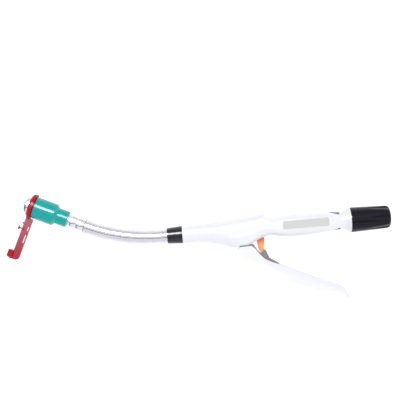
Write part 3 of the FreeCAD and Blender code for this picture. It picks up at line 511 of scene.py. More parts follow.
    def modifier(self, kind: str, **settings: object) -> "Form":
        """Add a modifier and apply it.

        Args:
            kind: Blender's name for the modifier's type.
            settings: Values to set on it.

        Returns:
            The form itself.
        """
        self.leave()
        modifier = self.piece.modifiers.new(kind.lower(), kind)
        for key, value in settings.items():
            setattr(modifier, key, value)
        bpy.ops.object.modifier_apply(modifier=modifier.name)
        return self

    def bevel(self, width: float, segments: int = 3, degrees: float = 30.0) -> "Form":
        """Round every edge sharper than an angle."""
        return self.modifier("BEVEL", width=width * MM, segments=segments, limit_method="ANGLE",
                             angle_limit=math.radians(degrees))

    def subdivide(self, levels: int) -> "Form":
        """Subdivide the cage to a smooth surface."""
        return self.modifier("SUBSURF", levels=levels, render_levels=levels)

    def combine(self, others: Iterable["Form"], operation: str = "DIFFERENCE") -> "Form":
        """Cut, join or cross the form with others, which are used up.

        Args:
            others: The other forms.
            operation: Blender's name for the boolean operation.

        Returns:
            The form itself.
        """
        for other in others:
            other.leave()
            self.modifier("BOOLEAN", operation=operation, solver="EXACT", object=other.piece)
            bpy.data.objects.remove(other.piece, do_unlink=True)
        return self

    def twin(self, name: str) -> "Form":
        """Copy the form with its own mesh.

        Args:
            name: Name of the copy.

        Returns:
            The copy, in object mode.
        """
        self.leave()
        bpy.ops.object.duplicate(linked=False)
        copy = Form.__new__(Form)
        copy.piece = bpy.context.object
        copy.rename(name)
        return copy

    def place(self, matrix: Matrix) -> "Form":
        """Carry the mesh to its place, with the object left at the origin.

        Args:
            matrix: The move in metres.

        Returns:
            The form itself.
        """
        self.leave()
        self.piece.matrix_world = matrix
        bpy.ops.object.transform_apply(location=True, rotation=True, scale=True)
        return self

    def smooth(self, degrees: float = 35.0) -> "Form":
        """Shade smooth up to an edge angle, with normals weighted by face area.

        Args:
            degrees: The edge angle.

        Returns:
            The form itself.
        """
        self.leave()
        bpy.ops.object.shade_smooth_by_angle(angle=math.radians(degrees))
        return self.modifier("WEIGHTED_NORMAL", keep_sharp=True)


def turned(name: str, profile: list[Pair], steps: int = 96, solid: bool = False) -> Form:
    """Spin an outline about the X axis.

    Args:
        name: Name of the new piece.
        profile: Outline as (x, radius) points.
        steps: Number of steps round.
        solid: Whether the outline starts and ends on the axis.

    Returns:
        The closed form.
    """
    spots = [(x, radius, 0.0) for x, radius in profile]
    form = Form.trace(name, spots)
    if not solid:
        form.close(spots[0], spots[-1])
    bpy.ops.mesh.select_all(action="SELECT")
    form.spin(360, steps)
    form.tidy()
    return form


def plate(name: str, outline: list[Pair], low: float, high: float) -> Form:
    """Raise a closed outline of (x, y) points from one height to another.

    Args:
        name: Name of the new piece.
        outline: The outline's points.
        low: Lower height.
        high: Upper height.

    Returns:
        The closed form.
    """
    spots = [(x, y, low) for x, y in outline]
    form = Form.trace(name, spots)
    form.close(spots[0], spots[-1])
    bpy.ops.mesh.select_all(action="SELECT")
    bpy.ops.mesh.edge_face_add()
    form.extrude((0, 0, high - low))
    form.tidy()
    return form


def arc(centre: Pair, radius: float, start: float, end: float, steps: int) -> list[Pair]:
    """Points of an arc, both ends included.

    Args:
        centre: Middle of the arc.
        radius: Its radius.
        start: First angle in degrees.
        end: Last angle in degrees.
        steps: Number of steps.

    Returns:
        The points in order.
    """
    points = []
    for index in range(steps + 1):
        angle = math.radians(start + (end - start) * index / steps)
        points.append((centre[0] + radius * math.cos(angle), centre[1] + radius * math.sin(angle)))
    return points


@dataclass(frozen=True)
class Station:
    """Cross-section of a moulded form.

    Attributes:
        x: Middle of the section along the handle.
        y: Middle of the section across the handle.
        high: Half its height.
        wide: Half its width, along Z.
        squareness: 2 for an ellipse, more for a rounded rectangle.
        tilt: Angle of its height from +Y, in degrees.
    """

    x: float
    y: float
    high: float
    wide: float
    squareness: float
    tilt: float = 0.0

    # A subdivided ring passes at two thirds of each cage point and a sixth of both neighbours.
    # The cage's points stand where that is 1 at the sides and the diagonal at the corners.
    @property
    def corner(self) -> float:
        """Reach of the cage's corner points, as a share of the half sizes."""
        diagonal = 0.7071 ** (2 / self.squareness)
        return (6 * diagonal - 1.5) / 3.5

    @property
    def side(self) -> float:
        """Reach of the cage's side points, as a share of the half sizes."""
        return (6 - 2 * self.corner) / 4

    def between(self, before: "Station", after: "Station") -> "Station":
        """Cage section whose subdivided surface passes through this section.

        Args:
            before: The section before it.
            after: The section after it.

        Returns:
            The cage's section.
        """
        def lifted(own: float, first: float, last: float) -> float:
            """Value of the cage that smooths back to its own."""
            return 1.5 * own - 0.25 * (first + last)
        return Station(self.x, lifted(self.y, before.y, after.y),
                       lifted(self.high, before.high, after.high),
                       lifted(self.wide, before.wide, after.wide), self.squareness, self.tilt)


def moulded(name: str, stations: list[Station], levels: int, rounding: float) -> Form:
    """Extrude a ring of eight points through the stations and subdivide it.

    Args:
        name: Name of the new piece.
        stations: Sections from one end to the other.
        levels: Subdivision levels.
        rounding: Inset of the closed ends, which rounds their edges.

    Returns:
        The closed form.
    """
    cage = [stations[0]]
    for before, own, after in zip(stations, stations[1:], stations[2:]):
        cage.append(own.between(before, after))
    cage.append(stations[-1])
    cage_points = 8
    form = Form.ring(name, cage_points, 0.0, 1.0)
    first = cage[0]
    form.resize((1, first.side * first.high, first.side * first.wide))
    square_up(form, (0.0, 0.0), math.sqrt(2) * first.corner / first.side)
    form.turn(first.tilt)
    bpy.ops.transform.translate(value=metres((first.x, first.y, 0)))
    bpy.ops.mesh.edge_face_add()
    bpy.ops.mesh.inset(thickness=rounding * MM)
    form.pick_points(lambda spot: outer_ring(spot, first, rounding))
    for last, own in zip(cage, cage[1:]):
        form.extrude((own.x - last.x, own.y - last.y, 0))
        centre = (own.x, own.y, 0)
        form.turn(-last.tilt, centre)
        form.resize((1, own.side * own.high / (last.side * last.high),
                     own.side * own.wide / (last.side * last.wide)), centre)
        change = (own.corner / own.side) / (last.corner / last.side)
        if abs(change - 1) > SAME:
            square_up(form, (own.x, own.y), change)
        form.turn(own.tilt, centre)
    bpy.ops.mesh.edge_face_add()
    bpy.ops.mesh.inset(thickness=rounding * MM)
    form.tidy()
    return form.subdivide(levels)


def outer_ring(spot: Vector, station: Station, rounding: float) -> bool:
    """Whether a point of a closed end lies on its outer ring, not on its inset.

    Args:
        spot: The point's place.
        station: The section at that end.
        rounding: The inset of the end.

    Returns:
        True on the outer ring.
    """
    tilt = math.radians(station.tilt)
    across = (spot.y - station.y) * math.cos(tilt) - (spot.x - station.x) * math.sin(tilt)
    reach = math.hypot(across / station.high, spot.z / station.wide)
    inset = rounding / max(station.high, station.wide)
    return reach > min(station.side, station.corner * math.sqrt(2)) - inset / 2


def square_up(form: Form, middle: Pair, factor: float) -> None:
    """Move the corner points of the selected upright ring in or out.

    Args:
        form: The form under work.
        middle: Middle of the ring.
        factor: How much further out the corners go.
    """
    ring = form.picked()
    form.pick_again(ring, lambda spot: abs(spot.y - middle[1]) > NEAR and abs(spot.z) > NEAR)
    form.resize((1, factor, factor), (*middle, 0))
    form.pick_again(ring)


@dataclass
class Dresser:
    """Hands out finishes and seats pieces on their bodies."""

    slots: dict[str, str]
    bodies: dict[str, str]
    materials: dict[str, bpy.types.Material] = field(default_factory=dict)

    def __post_init__(self) -> None:
        """Build every finish once."""
        for finish in FINISHES:
            self.materials[finish.name] = finish.material()

    def dress(self, piece: bpy.types.Object, slot: str) -> None:
        """Give a piece its finish.

        Args:
            piece: The piece or frame node.
            slot: The material slot's name.
        """
        piece.data.materials.clear()
        piece.data.materials.append(self.materials[slot])

    def join(self, form: Form, node: str, finish: str | None = None) -> None:
        """Dress a piece and seat it on a node's body.

        Args:
            form: The new piece.
            node: The frame node whose body and slot it takes.
            finish: Name of the finish, where it isn't the slot's own.
        """
        piece = form.piece
        slot = self.slots[node]
        self.dress(piece, finish or slot)
        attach(piece, self.bodies[node])
        LOG.info("piece %s on %s", piece.name, self.bodies[node])

    def stand_in(self, form: Form, node: str) -> None:
        """Dress a piece, seat it on the node's body and let it replace the node.

        Args:
            form: The new piece.
            node: The frame node that it stands for.
        """
        self.join(form, node)
        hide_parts(node)


# Places

# Half the handle's width, and the shaft's bend: its place along the handle, its radius and
# its angle in degrees. Everything is built about the X axis and lifted by half the width.
HALF_WIDTH = 15.5
LIFT = Matrix.Translation((0, 0, HALF_WIDTH * MM))
BEND_START = -105.0
BEND_RADIUS = 206.0
BEND_ANGLE = 25.4


def head_place() -> Matrix:
    """Place of pieces built along +X from the end of the shaft's bend.

    Returns:
        The matrix that swings them onto the head's axis.
    """
    angle = math.radians(BEND_ANGLE)
    end = Vector((BEND_START - BEND_RADIUS * math.sin(angle),
                  BEND_RADIUS * (1 - math.cos(angle)), HALF_WIDTH)) * MM
    return Matrix.Translation(end) @ Matrix.Rotation(math.pi - angle, 4, "Z")


# Handle

@dataclass
class Housing:
    """Two moulded shells of the handle, the blank plate let into one and their screws.

    Attributes:
        wall: Thickness of the shells.
        nose_x: Front end.
        bell_x: Rear end, where the neck opens in a bell mouth.
        overlong: A span past both ends.
        cavity: Ends of the room inside.
        seam: Half the gap between the shells.
        bore: Radius of the nose's bore.
        neck_bore: Radius of the neck's bore.
        flange_bore: Radius of the room for the knob sleeve's flange.
        flange_x: Front of that room.
        window: Ends of the neck's windows.
        window_half: Half the windows' width.
        window_top: Distance from the axis to the windows' open side.
        window_slope: How far behind the front end their slope starts, and how high.
        window_floor: How far before the rear end their floor starts and ends.
        window_sink: How far their floor lies inside the neck's bore.
        insert_gap: Gap round the windows' inserts.
        insert_depth: How far the inserts are set back.
        cup_depth: Depth of the bell mouth.
        cup_radius: Its radius at the rim.
        plate_x: Ends of the blank plate.
        plate_y: Lower and upper edge of the plate.
        plate_corner: Radius of its corners.
        plate_depth: Its thickness.
        gap: Clearance round the plate, the screws and the pins.
        crease_centre: Middle of the cheeks' curved line.
        crease_radius: Its radius.
        crease_angles: Where it starts and ends, in degrees.
        crease_width: Its width.
        crease_depth: Its depth.
        slot_x: Ends of the slot for the lever.
        slot_half: Half its width.
        slot_top: Its upper end.
        step_x: Ends of the step that the lever's root fills.
        step_top: Its height.
        screws: Places of the screws.
        screw_radius: Radius of their threads.
        screw_head: Radius of their heads.
        head_depth: How deep a head reaches.
        head_sink: How far a head lies below the shell's surface.
        head_room: Room round a head.
        screw_point: Length of a screw's point and radius of its end.
        socket: Radius and depth of the recess in a head.
        boss: Radius of the screw bosses.
        boss_wall: Wall round the pins.
        rib: Thickness of the ribs.
        rib_bore: Radius of their bore for the screw of the drive.
        ribs: Places of the ribs.
        pins: Places and radii of the pins.
        pin_reach: Half the pins' length.
        end_rounding: Inset that rounds the ends of the shells.
        room_rounding: The same of the room inside.
    """

    wall: float = 2.2
    nose_x: float = -79.5
    bell_x: float = 119.8
    overlong: Pair = (-200.0, 200.0)
    cavity: Pair = (-50.0, 91.0)
    seam: float = 0.05
    bore: float = 7.6
    neck_bore: float = 9.2
    flange_bore: float = 10.2
    flange_x: float = 87.1
    window: Pair = (94.0, 108.5)
    window_half: float = 9.0
    window_top: float = 13.5
    window_slope: Pair = (1.0, 11.0)
    window_floor: Pair = (3.4, 2.2)
    window_sink: float = 1.2
    insert_gap: float = 0.05
    insert_depth: float = 0.35
    cup_depth: float = 6.0
    cup_radius: float = 13.5
    plate_x: Pair = (38.9, 93.3)
    plate_y: Pair = (-3.8, 5.7)
    plate_corner: float = 2.0
    plate_depth: float = 0.4
    gap: float = 0.1
    crease_centre: Pair = (-2.0, -16.0)
    crease_radius: float = 17.0
    crease_angles: Pair = (124.0, 200.0)
    crease_width: float = 0.8
    crease_depth: float = 0.45
    slot_x: Pair = (-15.0, 22.4)
    slot_half: float = 7.5
    slot_top: float = -8.0
    step_x: Pair = (-15.9, 4.5)
    step_top: float = -18.8
    screws: tuple[Pair, ...] = ((1.0, 8.9), (36.0, -7.2), (52.0, 7.2), (80.0, -6.9))
    screw_radius: float = 1.3
    screw_head: float = 2.4
    head_depth: float = 1.8
    head_sink: float = 0.4
    head_room: float = 0.3
    screw_point: Pair = (1.2, 0.4)
    socket: Pair = (1.2, 0.9)
    boss: float = 2.9
    boss_wall: float = 1.6
    rib: float = 1.5
    rib_bore: float = 4.6
    ribs: tuple[float, ...] = (24.5, 44.0, 58.4, 65.1, 72.0, 85.3)
    pins: tuple[tuple[Pair, float], ...] = (((-9.0, -12.5), 2.0), ((13.0, -8.6), 1.2))
    pin_reach: float = 12.7
    end_rounding: float = 0.8
    room_rounding: float = 0.4

    def stations(self, inset: float) -> list[Station]:
        """Sections of the handle's form.

        Args:
            inset: How far the form is drawn in.

        Returns:
            The sections from nose to bell.
        """
        edge = 0.5
        # Place, top, bottom, half width and squareness.
        rows = [
            (self.nose_x, 10.7, -10.7, 10.7, 2.0), (self.nose_x + edge, 10.7, -10.7, 10.7, 2.0),
            (-60.0, 10.8, -11.2, 12.2, 2.1), (-40.0, 11.5, -14.2, 14.2, 2.3),
            (-25.0, 12.2, -19.2, 15.5, 2.6), (-16.5, 13.2, -21.2, 15.8, 2.8),
            (-8.0, 14.4, -20.8, 15.8, 2.8), (0.0, 14.8, -18.6, 15.8, 2.8),
            (9.0, 15.8, -14.6, 15.8, 2.8), (15.7, 16.9, -12.0, 15.8, 2.8),
            (20.5, 14.0, -10.7, 15.8, 2.8), (26.5, 11.2, -9.9, 15.8, 2.8),
            (34.0, 11.5, -12.0, 15.8, 2.8), (48.0, 12.8, -13.2, 15.8, 2.8),
            (66.0, 13.0, -13.2, 15.8, 2.8), (84.0, 12.4, -12.3, 15.8, 2.8),
            (96.0, 12.0, -11.3, 14.4, 2.5), (106.0, 11.2, -10.7, 12.4, 2.2),
            (110.5, 11.0, -10.7, 12.0, 2.1), (114.5, 12.6, -11.8, 13.0, 2.0),
            (self.bell_x - edge, 15.3, -14.5, 14.9, 2.0), (self.bell_x, 15.5, -14.7, 15.1, 2.0),
        ]
        return [Station(x, (top + bottom) / 2, (top - bottom) / 2 - inset, wide - inset, square)
                for x, top, bottom, wide, square in rows]

    def hollow(self) -> Form:
        """Room inside the shells, with their ribs and screw bosses left standing.

        Returns:
            The closed form.
        """
        room = moulded("room", self.stations(self.wall), 2, self.room_rounding)
        room.combine([Form.block("length", self.cavity, THROUGH, THROUGH)], "INTERSECT")
        left_standing = []
        for x in self.ribs:
            web = Form.block("web", (x, x + self.rib), THROUGH, THROUGH)
            web.combine([Form.rod("web_bore", self.rib_bore, x - PAST, x + self.rib + PAST)])
            left_standing.append(web)
        for spot in self.screws:
            left_standing.append(Form.pin("boss", self.boss, spot, *THROUGH))
        for spot, radius in self.pins:
            for low, high in ((-FAR, -self.slot_half), (self.slot_half, FAR)):
                left_standing.append(Form.pin("boss", radius + self.boss_wall, spot, low, high))
        return room.combine(left_standing)

    def windows(self, gap: float) -> list[Form]:
        """Wedges in the top and bottom of the neck.

        Args:
            gap: How much smaller than the windows they are.

        Returns:
            The upper and the lower wedge.
        """
        low = self.neck_bore - self.window_sink
        start = self.window[0] + gap
        end = self.window[1] - gap
        wedge = [(start, self.window_top), (start + self.window_slope[0], self.window_slope[1])]
        wedge += [(end - before, low) for before in self.window_floor] + [(end, self.window_top)]
        mirrored = [(x, -y) for x, y in wedge]
        half = self.window_half - gap
        return [plate("upper_window", wedge, -half, half),
                plate("lower_window", mirrored, -half, half)]

    def window_dark_fills(self) -> Form:
        """Dark inserts that fill the neck's windows, set back from its surface: they stand for the
        black knob sleeve seen through them and paint the shade in their depth.

        Returns:
            The closed form.
        """
        upper, lower = self.windows(self.insert_gap)
        skin = moulded("insert_skin", self.stations(self.insert_depth), 2, self.room_rounding)
        upper.combine([lower], "UNION")
        upper.combine([skin], "INTERSECT")
        upper.combine([Form.rod("insert_bore", self.neck_bore, self.cavity[1], self.bell_x)])
        upper.rename("neck_window_dark_fills")
        return upper

    def crease(self) -> Form:
        """Shallow curved line on both cheeks, in front of the lever's pivot.

        Returns:
            The closed form.
        """
        start, end = self.crease_angles
        steps = 24
        outer = arc(self.crease_centre, self.crease_radius + self.crease_width, start, end, steps)
        inner = arc(self.crease_centre, self.crease_radius, end, start, steps)
        line = plate("crease", outer + inner, *THROUGH)
        bed = moulded("crease_bed", self.stations(self.crease_depth), 3, self.end_rounding)
        return line.combine([bed])

    def openings(self) -> list[Form]:
        """Everything that is cut out of the shells.

        Returns:
            The cutters.
        """
        floor = self.bell_x - self.cup_depth
        rim = self.bell_x + 0.4
        cup = turned("cup", [(floor, 0), (floor, self.neck_bore + 0.7), (rim, self.cup_radius),
                             (rim, 0)], 64, solid=True)
        cutters = self.windows(0.0) + [
            cup,
            Form.block("belly_slot", self.slot_x, (-FAR, self.slot_top),
                       (-self.slot_half, self.slot_half)),
            Form.block("lever_step", self.step_x, (-FAR, self.step_top), THROUGH),
            Form.rod("nose_bore", self.bore, self.nose_x - PAST, self.cavity[0] + PAST),
            Form.rod("neck_bore", self.neck_bore, self.cavity[1] - PAST, self.bell_x + PAST),
            Form.rod("flange_bore", self.flange_bore, self.flange_x, self.cavity[1]),
            self.plate_form("plate_room", self.gap, HALF_WIDTH + PAST),
        ]
        for spot in self.screws:
            cutters.append(Form.pin("screw_hole", self.screw_radius + self.gap, spot,
                                    -FAR, HALF_WIDTH - self.wall - 1.0))
            cutters.append(Form.pin("head_seat", self.screw_head + self.head_room, spot,
                                    -FAR, -HALF_WIDTH + self.head_depth + self.gap))
        for spot, radius in self.pins:
            cutters.append(Form.pin("pin_hole", radius + self.gap, spot,
                                    -self.pin_reach - self.gap, self.pin_reach + self.gap))
        return cutters

    def plate_form(self, name: str, gap: float, top: float) -> Form:
        """Rounded plate, or the recess it lies in.

        Args:
            name: Name of the new piece.
            gap: How much larger than the plate it is.
            top: Its upper height.

        Returns:
            The form.
        """
        form = Form.block(name, (self.plate_x[0] - gap, self.plate_x[1] + gap),
                          (self.plate_y[0] - gap, self.plate_y[1] + gap),
                          (HALF_WIDTH - self.plate_depth - gap, top))
        form.pick_edges(lambda one, two: abs(one.z - two.z) > gap + 0.1)
        bpy.ops.mesh.bevel(offset=self.plate_corner * MM, segments=6, affect="EDGES")
        return form

    def build(self, dresser: Dresser) -> None:
        """Model and dress the shells, the plate and the screws.

        Args:
            dresser: Hands out finishes.
        """
        whole = moulded("left_shell_moulding", self.stations(0.0), 3, self.end_rounding)
        length = (self.nose_x - PAST, self.bell_x + PAST)
        reach = (-HALF_WIDTH, HALF_WIDTH)
        whole.combine([Form.block("cheeks", self.overlong, THROUGH, reach)], "INTERSECT")
        whole.combine([self.hollow(), self.crease()] + self.openings())
        lower = whole.twin("right_shell_moulding")
        whole.combine([Form.block("upper", length, THROUGH, (self.seam, FAR))], "INTERSECT")
        lower.combine([Form.block("lower", length, THROUGH, (-FAR, -self.seam))], "INTERSECT")
        dresser.stand_in(whole.place(LIFT).smooth(), "left_shell")
        dresser.stand_in(lower.place(LIFT).smooth(), "right_shell")
        blank = self.plate_form("blank_plate", 0.0, HALF_WIDTH).bevel(0.1, 2, 60)
        dresser.stand_in(blank.place(LIFT).smooth(), "label_plate")
        dresser.stand_in(self.screw_set().place(LIFT).smooth(), "shell_screws")
        # Black fills in the neck's windows: partly the black sleeve behind them, partly painted shade.
        inserts = self.window_dark_fills().place(LIFT).smooth()
        dresser.join(inserts, "label_plate", "black_plastic")

    def screw_set(self) -> Form:
        """Screws with a six-sided recess in each head, joined as one piece.

        Returns:
            The closed form.
        """
        head_low = -HALF_WIDTH + self.head_sink
        head_top = -HALF_WIDTH + self.head_depth
        bevel = 0.4
        tip = HALF_WIDTH - self.wall - 1.5
        point_length, point_radius = self.screw_point
        turned_screw = turned("shell_screw", [
            (head_low, 0), (head_low, self.screw_head - bevel),
            (head_low + bevel, self.screw_head), (head_top, self.screw_head),
            (head_top, self.screw_radius), (tip - point_length, self.screw_radius),
            (tip, point_radius), (tip, 0)], 32, solid=True)
        turned_screw.place(Matrix.Rotation(-math.pi / 2, 4, "Y"))
        radius, depth = self.socket
        socket = Form.pin("socket", radius, (0, 0), head_low - PAST, head_low + depth, 6)
        turned_screw.combine([socket])
        first = turned_screw.twin("shell_screws_turned")
        first.place(Matrix.Translation(metres((*self.screws[0], 0))))
        for spot in self.screws[1:]:
            copy = turned_screw.twin("screw_copy")
            copy.place(Matrix.Translation(metres((*spot, 0))))
            first.combine([copy], "UNION")
        bpy.data.objects.remove(turned_screw.piece, do_unlink=True)
        return first


@dataclass
class Knob:
    """Black adjusting knob with long flutes, and the plug in its end.

    Attributes:
        front: Place of its front.
        length: Its length.
        front_radius: Radius at the front.
        rear_radius: Radius at the rear.
        edge: Rounding of the front edge.
        corner: Rounding of the rear edge.
        bore: Radius of the room inside.
        floor: Thickness of the front wall.
        flutes: Number of flutes.
        flute_start: Where they start, behind the front.
        flute_depth: Their depth at the rear.
        flute_radius: Radius of their section at the rear.
        tip_radius: The same where they start.
        around: Points round a ring.
        plug_depth: Depth of the plug's seat.
        plug_radius: Radius of the plug.
        plug_gap: Clearance round the plug.
        plug_dome: How far the plug's middle stands out.
    """

    front: float = 120.1
    length: float = 47.0
    front_radius: float = 14.8
    rear_radius: float = 13.4
    edge: float = 0.5
    corner: float = 5.0
    bore: float = 8.0
    floor: float = 3.0
    flutes: int = 6
    flute_start: float = 12.0
    flute_depth: float = 2.2
    flute_radius: float = 10.0
    tip_radius: float = 1.2
    around: int = 96
    plug_depth: float = 2.4
    plug_radius: float = 7.8
    plug_gap: float = 0.1
    plug_dome: float = 0.7

    def flute_reach(self, along: float, angle: float) -> float:
        """Distance from the axis to the wall of a flute.

        Args:
            along: Place behind the knob's front.
            angle: Angle from the flute's middle, in radians.

        Returns:
            The distance, or a large number outside the flute.
        """
        share = (along - self.flute_start) / (self.length + 2.0 - self.flute_start)
        if share < 0:
            return FAR
        radius = self.tip_radius + (self.flute_radius - self.tip_radius) * share
        first = self.front_radius + self.tip_radius
        last = self.rear_radius - self.flute_depth + self.flute_radius
        away = first + (last - first) * share
        room = radius ** 2 - (away * math.sin(angle)) ** 2
        return away * math.cos(angle) - math.sqrt(room) if room > 0 else FAR

    def outline(self) -> list[Pair]:
        """Rings of the knob.

        Returns:
            Each ring as (place behind the front, radius).
        """
        eased = 0.3 * self.edge
        rings = [(0.0, self.front_radius - self.edge), (eased, self.front_radius - eased),
                 (self.edge, self.front_radius)]
        straight = self.length - self.corner
        count = 15
        for index in range(1, count + 1):
            share = index / count
            rings.append((self.edge + (straight - self.edge) * share,
                          self.front_radius + (self.rear_radius - self.front_radius) * share))
        step = 15
        for angle in range(step, 90 + step, step):
            turn = math.radians(angle)
            rings.append((straight + self.corner * math.sin(turn),
                          self.rear_radius - self.corner * (1 - math.cos(turn))))
        return rings

    def body(self) -> Form:
        """Model the knob ring by ring, with the flutes pressed in as it goes.

        Returns:
            The closed form.
        """
        rings = self.outline()
        form = Form.ring("adjusting_knob_moulding", self.around, self.front + rings[0][0],
                         rings[0][1])
        for (last_x, last_r), (along, radius) in zip(rings, rings[1:]):
            form.extrude((along - last_x, 0, 0))
            form.resize((1, radius / last_r, radius / last_r))
        form.pick_points(lambda spot: spot.x > self.front + self.length - NEAR)
        seat = self.plug_radius + self.plug_gap
        room = self.bore + self.plug_gap
        for factor, move in ((seat / rings[-1][1], -self.plug_depth),
                             (room / seat, self.plug_depth - self.length + self.floor)):
            form.extrude((0, 0, 0))
            form.resize((1, factor, factor))
            form.extrude((move, 0, 0))
        form.extrude((-self.floor, 0, 0))
        self.press_flutes(form, rings)
        form.tidy()
        self.bridge_front(form)
        return form.subdivide(1)

    def press_flutes(self, form: Form, rings: list[Pair]) -> None:
        """Press the flutes into the rings.

        Args:
            form: The knob under work.
            rings: Its rings.
        """
        step = 2 * math.pi / self.around
        period = self.around // self.flutes
        loose = 10 * NEAR
        for along, radius in rings:
            for offset in range(period // 2):
                reach = self.flute_reach(along, offset * step)
                if reach >= radius:
                    continue

                def in_flute(spot: Vector) -> bool:
                    """Whether a point lies on this ring, this far from a flute's middle.

                    Args:
                        spot: The point's place.

                    Returns:
                        True where it does.
                    """
                    if abs(spot.x - self.front - along) > loose:
                        return False
                    if abs(math.hypot(spot.y, spot.z) - radius) > loose:
                        return False
                    place = round(math.atan2(spot.y, spot.z) / step) % period
                    return min(place, period - place) == offset

                form.pick_points(in_flute)
                form.resize((1, reach / radius, reach / radius))

    def bridge_front(self, form: Form) -> None:
        """Close the front face between the outer rim and the bore.

        Args:
            form: The knob under work.
        """
        form.pick_edges(lambda one, two: abs(one.x - self.front) < NEAR
                        and abs(two.x - self.front) < NEAR)
        bpy.ops.mesh.bridge_edge_loops()
        bpy.ops.mesh.select_all(action="SELECT")
        bpy.ops.mesh.normals_make_consistent(inside=False)

    def plug(self) -> Form:
        """Slightly domed plug with a stepped rim.

        Returns:
            The closed form.
        """
        rear = self.front + self.length
        inner = rear - self.plug_depth + self.plug_gap
        rim = 0.5
        dome = [(rear + self.plug_dome * (1 - share ** 2), self.plug_radius * share)
                for share in (0.85, 0.65, 0.45, 0.25, 0.0)]
        return turned("knob_end_cap_moulding", [
            (inner, 0), (inner, self.plug_radius), (rear - rim, self.plug_radius),
            (rear - 0.1, self.plug_radius - rim)] + dome, 64, solid=True)

    def build(self, dresser: Dresser) -> None:
        """Model and dress the knob and its plug."""
        dresser.stand_in(self.body().place(LIFT).smooth(60), "adjusting_knob")
        dresser.stand_in(self.plug().bevel(0.15, 2).place(LIFT).smooth(), "knob_end_cap")


# Shaft

@dataclass
class Shaft:
    """Black collar, polished tube and the clear sleeve over it.

    Attributes:
        collar_x: Ends of the collar.
        collar_radii: Its radius at both ends.
        collar_rim: Rounding of its front rim.
        collar_step: Places before the rear end, and depths, of the fine step in it.
        sleeve_radius: Outer radius of the sleeve.
        sleeve_wall: Its wall.
        sleeve_ends: Its rear end, and its front end measured from the end of the bend.
        sleeve_rim: Depth of its end rim, how far the rim stands out, and its drop.
        tube_radius: Outer radius of the tube.
        tube_wall: Its wall.
        tube_ends: Its ends, measured in the same way.
        gap: Clearance inside the collar and the rim.
        around: Points round the tubes.
        bend_steps: Steps of the bend.
    """

    collar_x: Pair = (-97.5, -79.6)
    collar_radii: Pair = (9.2, 10.5)
    collar_rim: float = 0.6
    collar_step: tuple[Pair, ...] = ((1.6, 0.1), (1.4, 0.35), (1.1, 0.35), (0.9, 0.05))
    sleeve_radius: float = 8.4
    sleeve_wall: float = 0.8
    sleeve_ends: Pair = (-79.7, 0.6)
    sleeve_rim: Spot = (0.35, 0.1, 0.15)
    tube_radius: float = 7.5
    tube_wall: float = 0.6
    tube_ends: Pair = (-50.1, 20.8)
    gap: float = 0.1
    around: int = 64
    bend_steps: int = 32

    def bent_tube(self, name: str, radius: float, wall: float, ends: Pair) -> Form:
        """Tube from the handle round the bend onto the head.

        Args:
            name: Name of the new piece.
            radius: Its outer radius.
            wall: Its wall.
            ends: Its rear end, and its front end measured from the end of the bend.

        Returns:
            The tube.
        """
        form = Form.ring(name, self.around, ends[0], radius)
        form.extrude((BEND_START - ends[0], 0, 0))
        form.spin(BEND_ANGLE, self.bend_steps, (BEND_START, BEND_RADIUS, 0), (0, 0, 1))
        angle = math.radians(BEND_ANGLE)
        form.extrude((-ends[1] * math.cos(angle), ends[1] * math.sin(angle), 0))
        form.tidy()
        return form.modifier("SOLIDIFY", thickness=wall * MM, offset=-1, use_rim=True,
                             use_even_offset=True)

    def collar(self) -> Form:
        """Tapered collar with a rounded front rim and a fine step at the handle.

        Returns:
            The closed form.
        """
        front, rear = self.collar_x
        thin, thick = self.collar_radii
        inner = self.sleeve_radius + self.gap
        rim = arc((front + self.collar_rim, thin - self.collar_rim), self.collar_rim, 180, 90, 4)
        step = [(rear - before, thick - depth) for before, depth in self.collar_step]
        form = turned("shaft_collar_moulding",
                      [(front, inner)] + rim + step + [(rear, thick), (rear, inner)], 96)
        return form.bevel(0.08, 2, 50)

    def build(self, dresser: Dresser) -> None:
        """Model and dress the collar, the tube and the sleeve with its end rim, darkened as painted
        shade.

        Args:
            dresser: Hands out finishes.
        """
        dresser.stand_in(self.collar().place(LIFT).smooth(), "shaft_collar")
        tube = self.bent_tube("shaft_tube_drawn", self.tube_radius, self.tube_wall, self.tube_ends)
        dresser.stand_in(tube.place(LIFT).smooth(), "shaft_tube")
        sleeve = self.bent_tube("clear_sleeve_drawn", self.sleeve_radius, self.sleeve_wall,
                                self.sleeve_ends)
        dresser.stand_in(sleeve.place(LIFT).smooth(), "clear_sleeve")
        depth, out, drop = self.sleeve_rim
        start = self.sleeve_ends[1] - depth
        end = self.sleeve_ends[1] + out
        inner = self.tube_radius + self.gap
        rim = turned("sleeve_end_rim", [(start, inner), (start, self.sleeve_radius),
                                        (end, self.sleeve_radius - drop), (end, inner)], 64)
        # The rim's dark finish paints the shade line at the sleeve's cut end.
        dresser.join(rim.place(head_place()).smooth(), "clear_sleeve", "clear_edge_painted_shade")


# Head

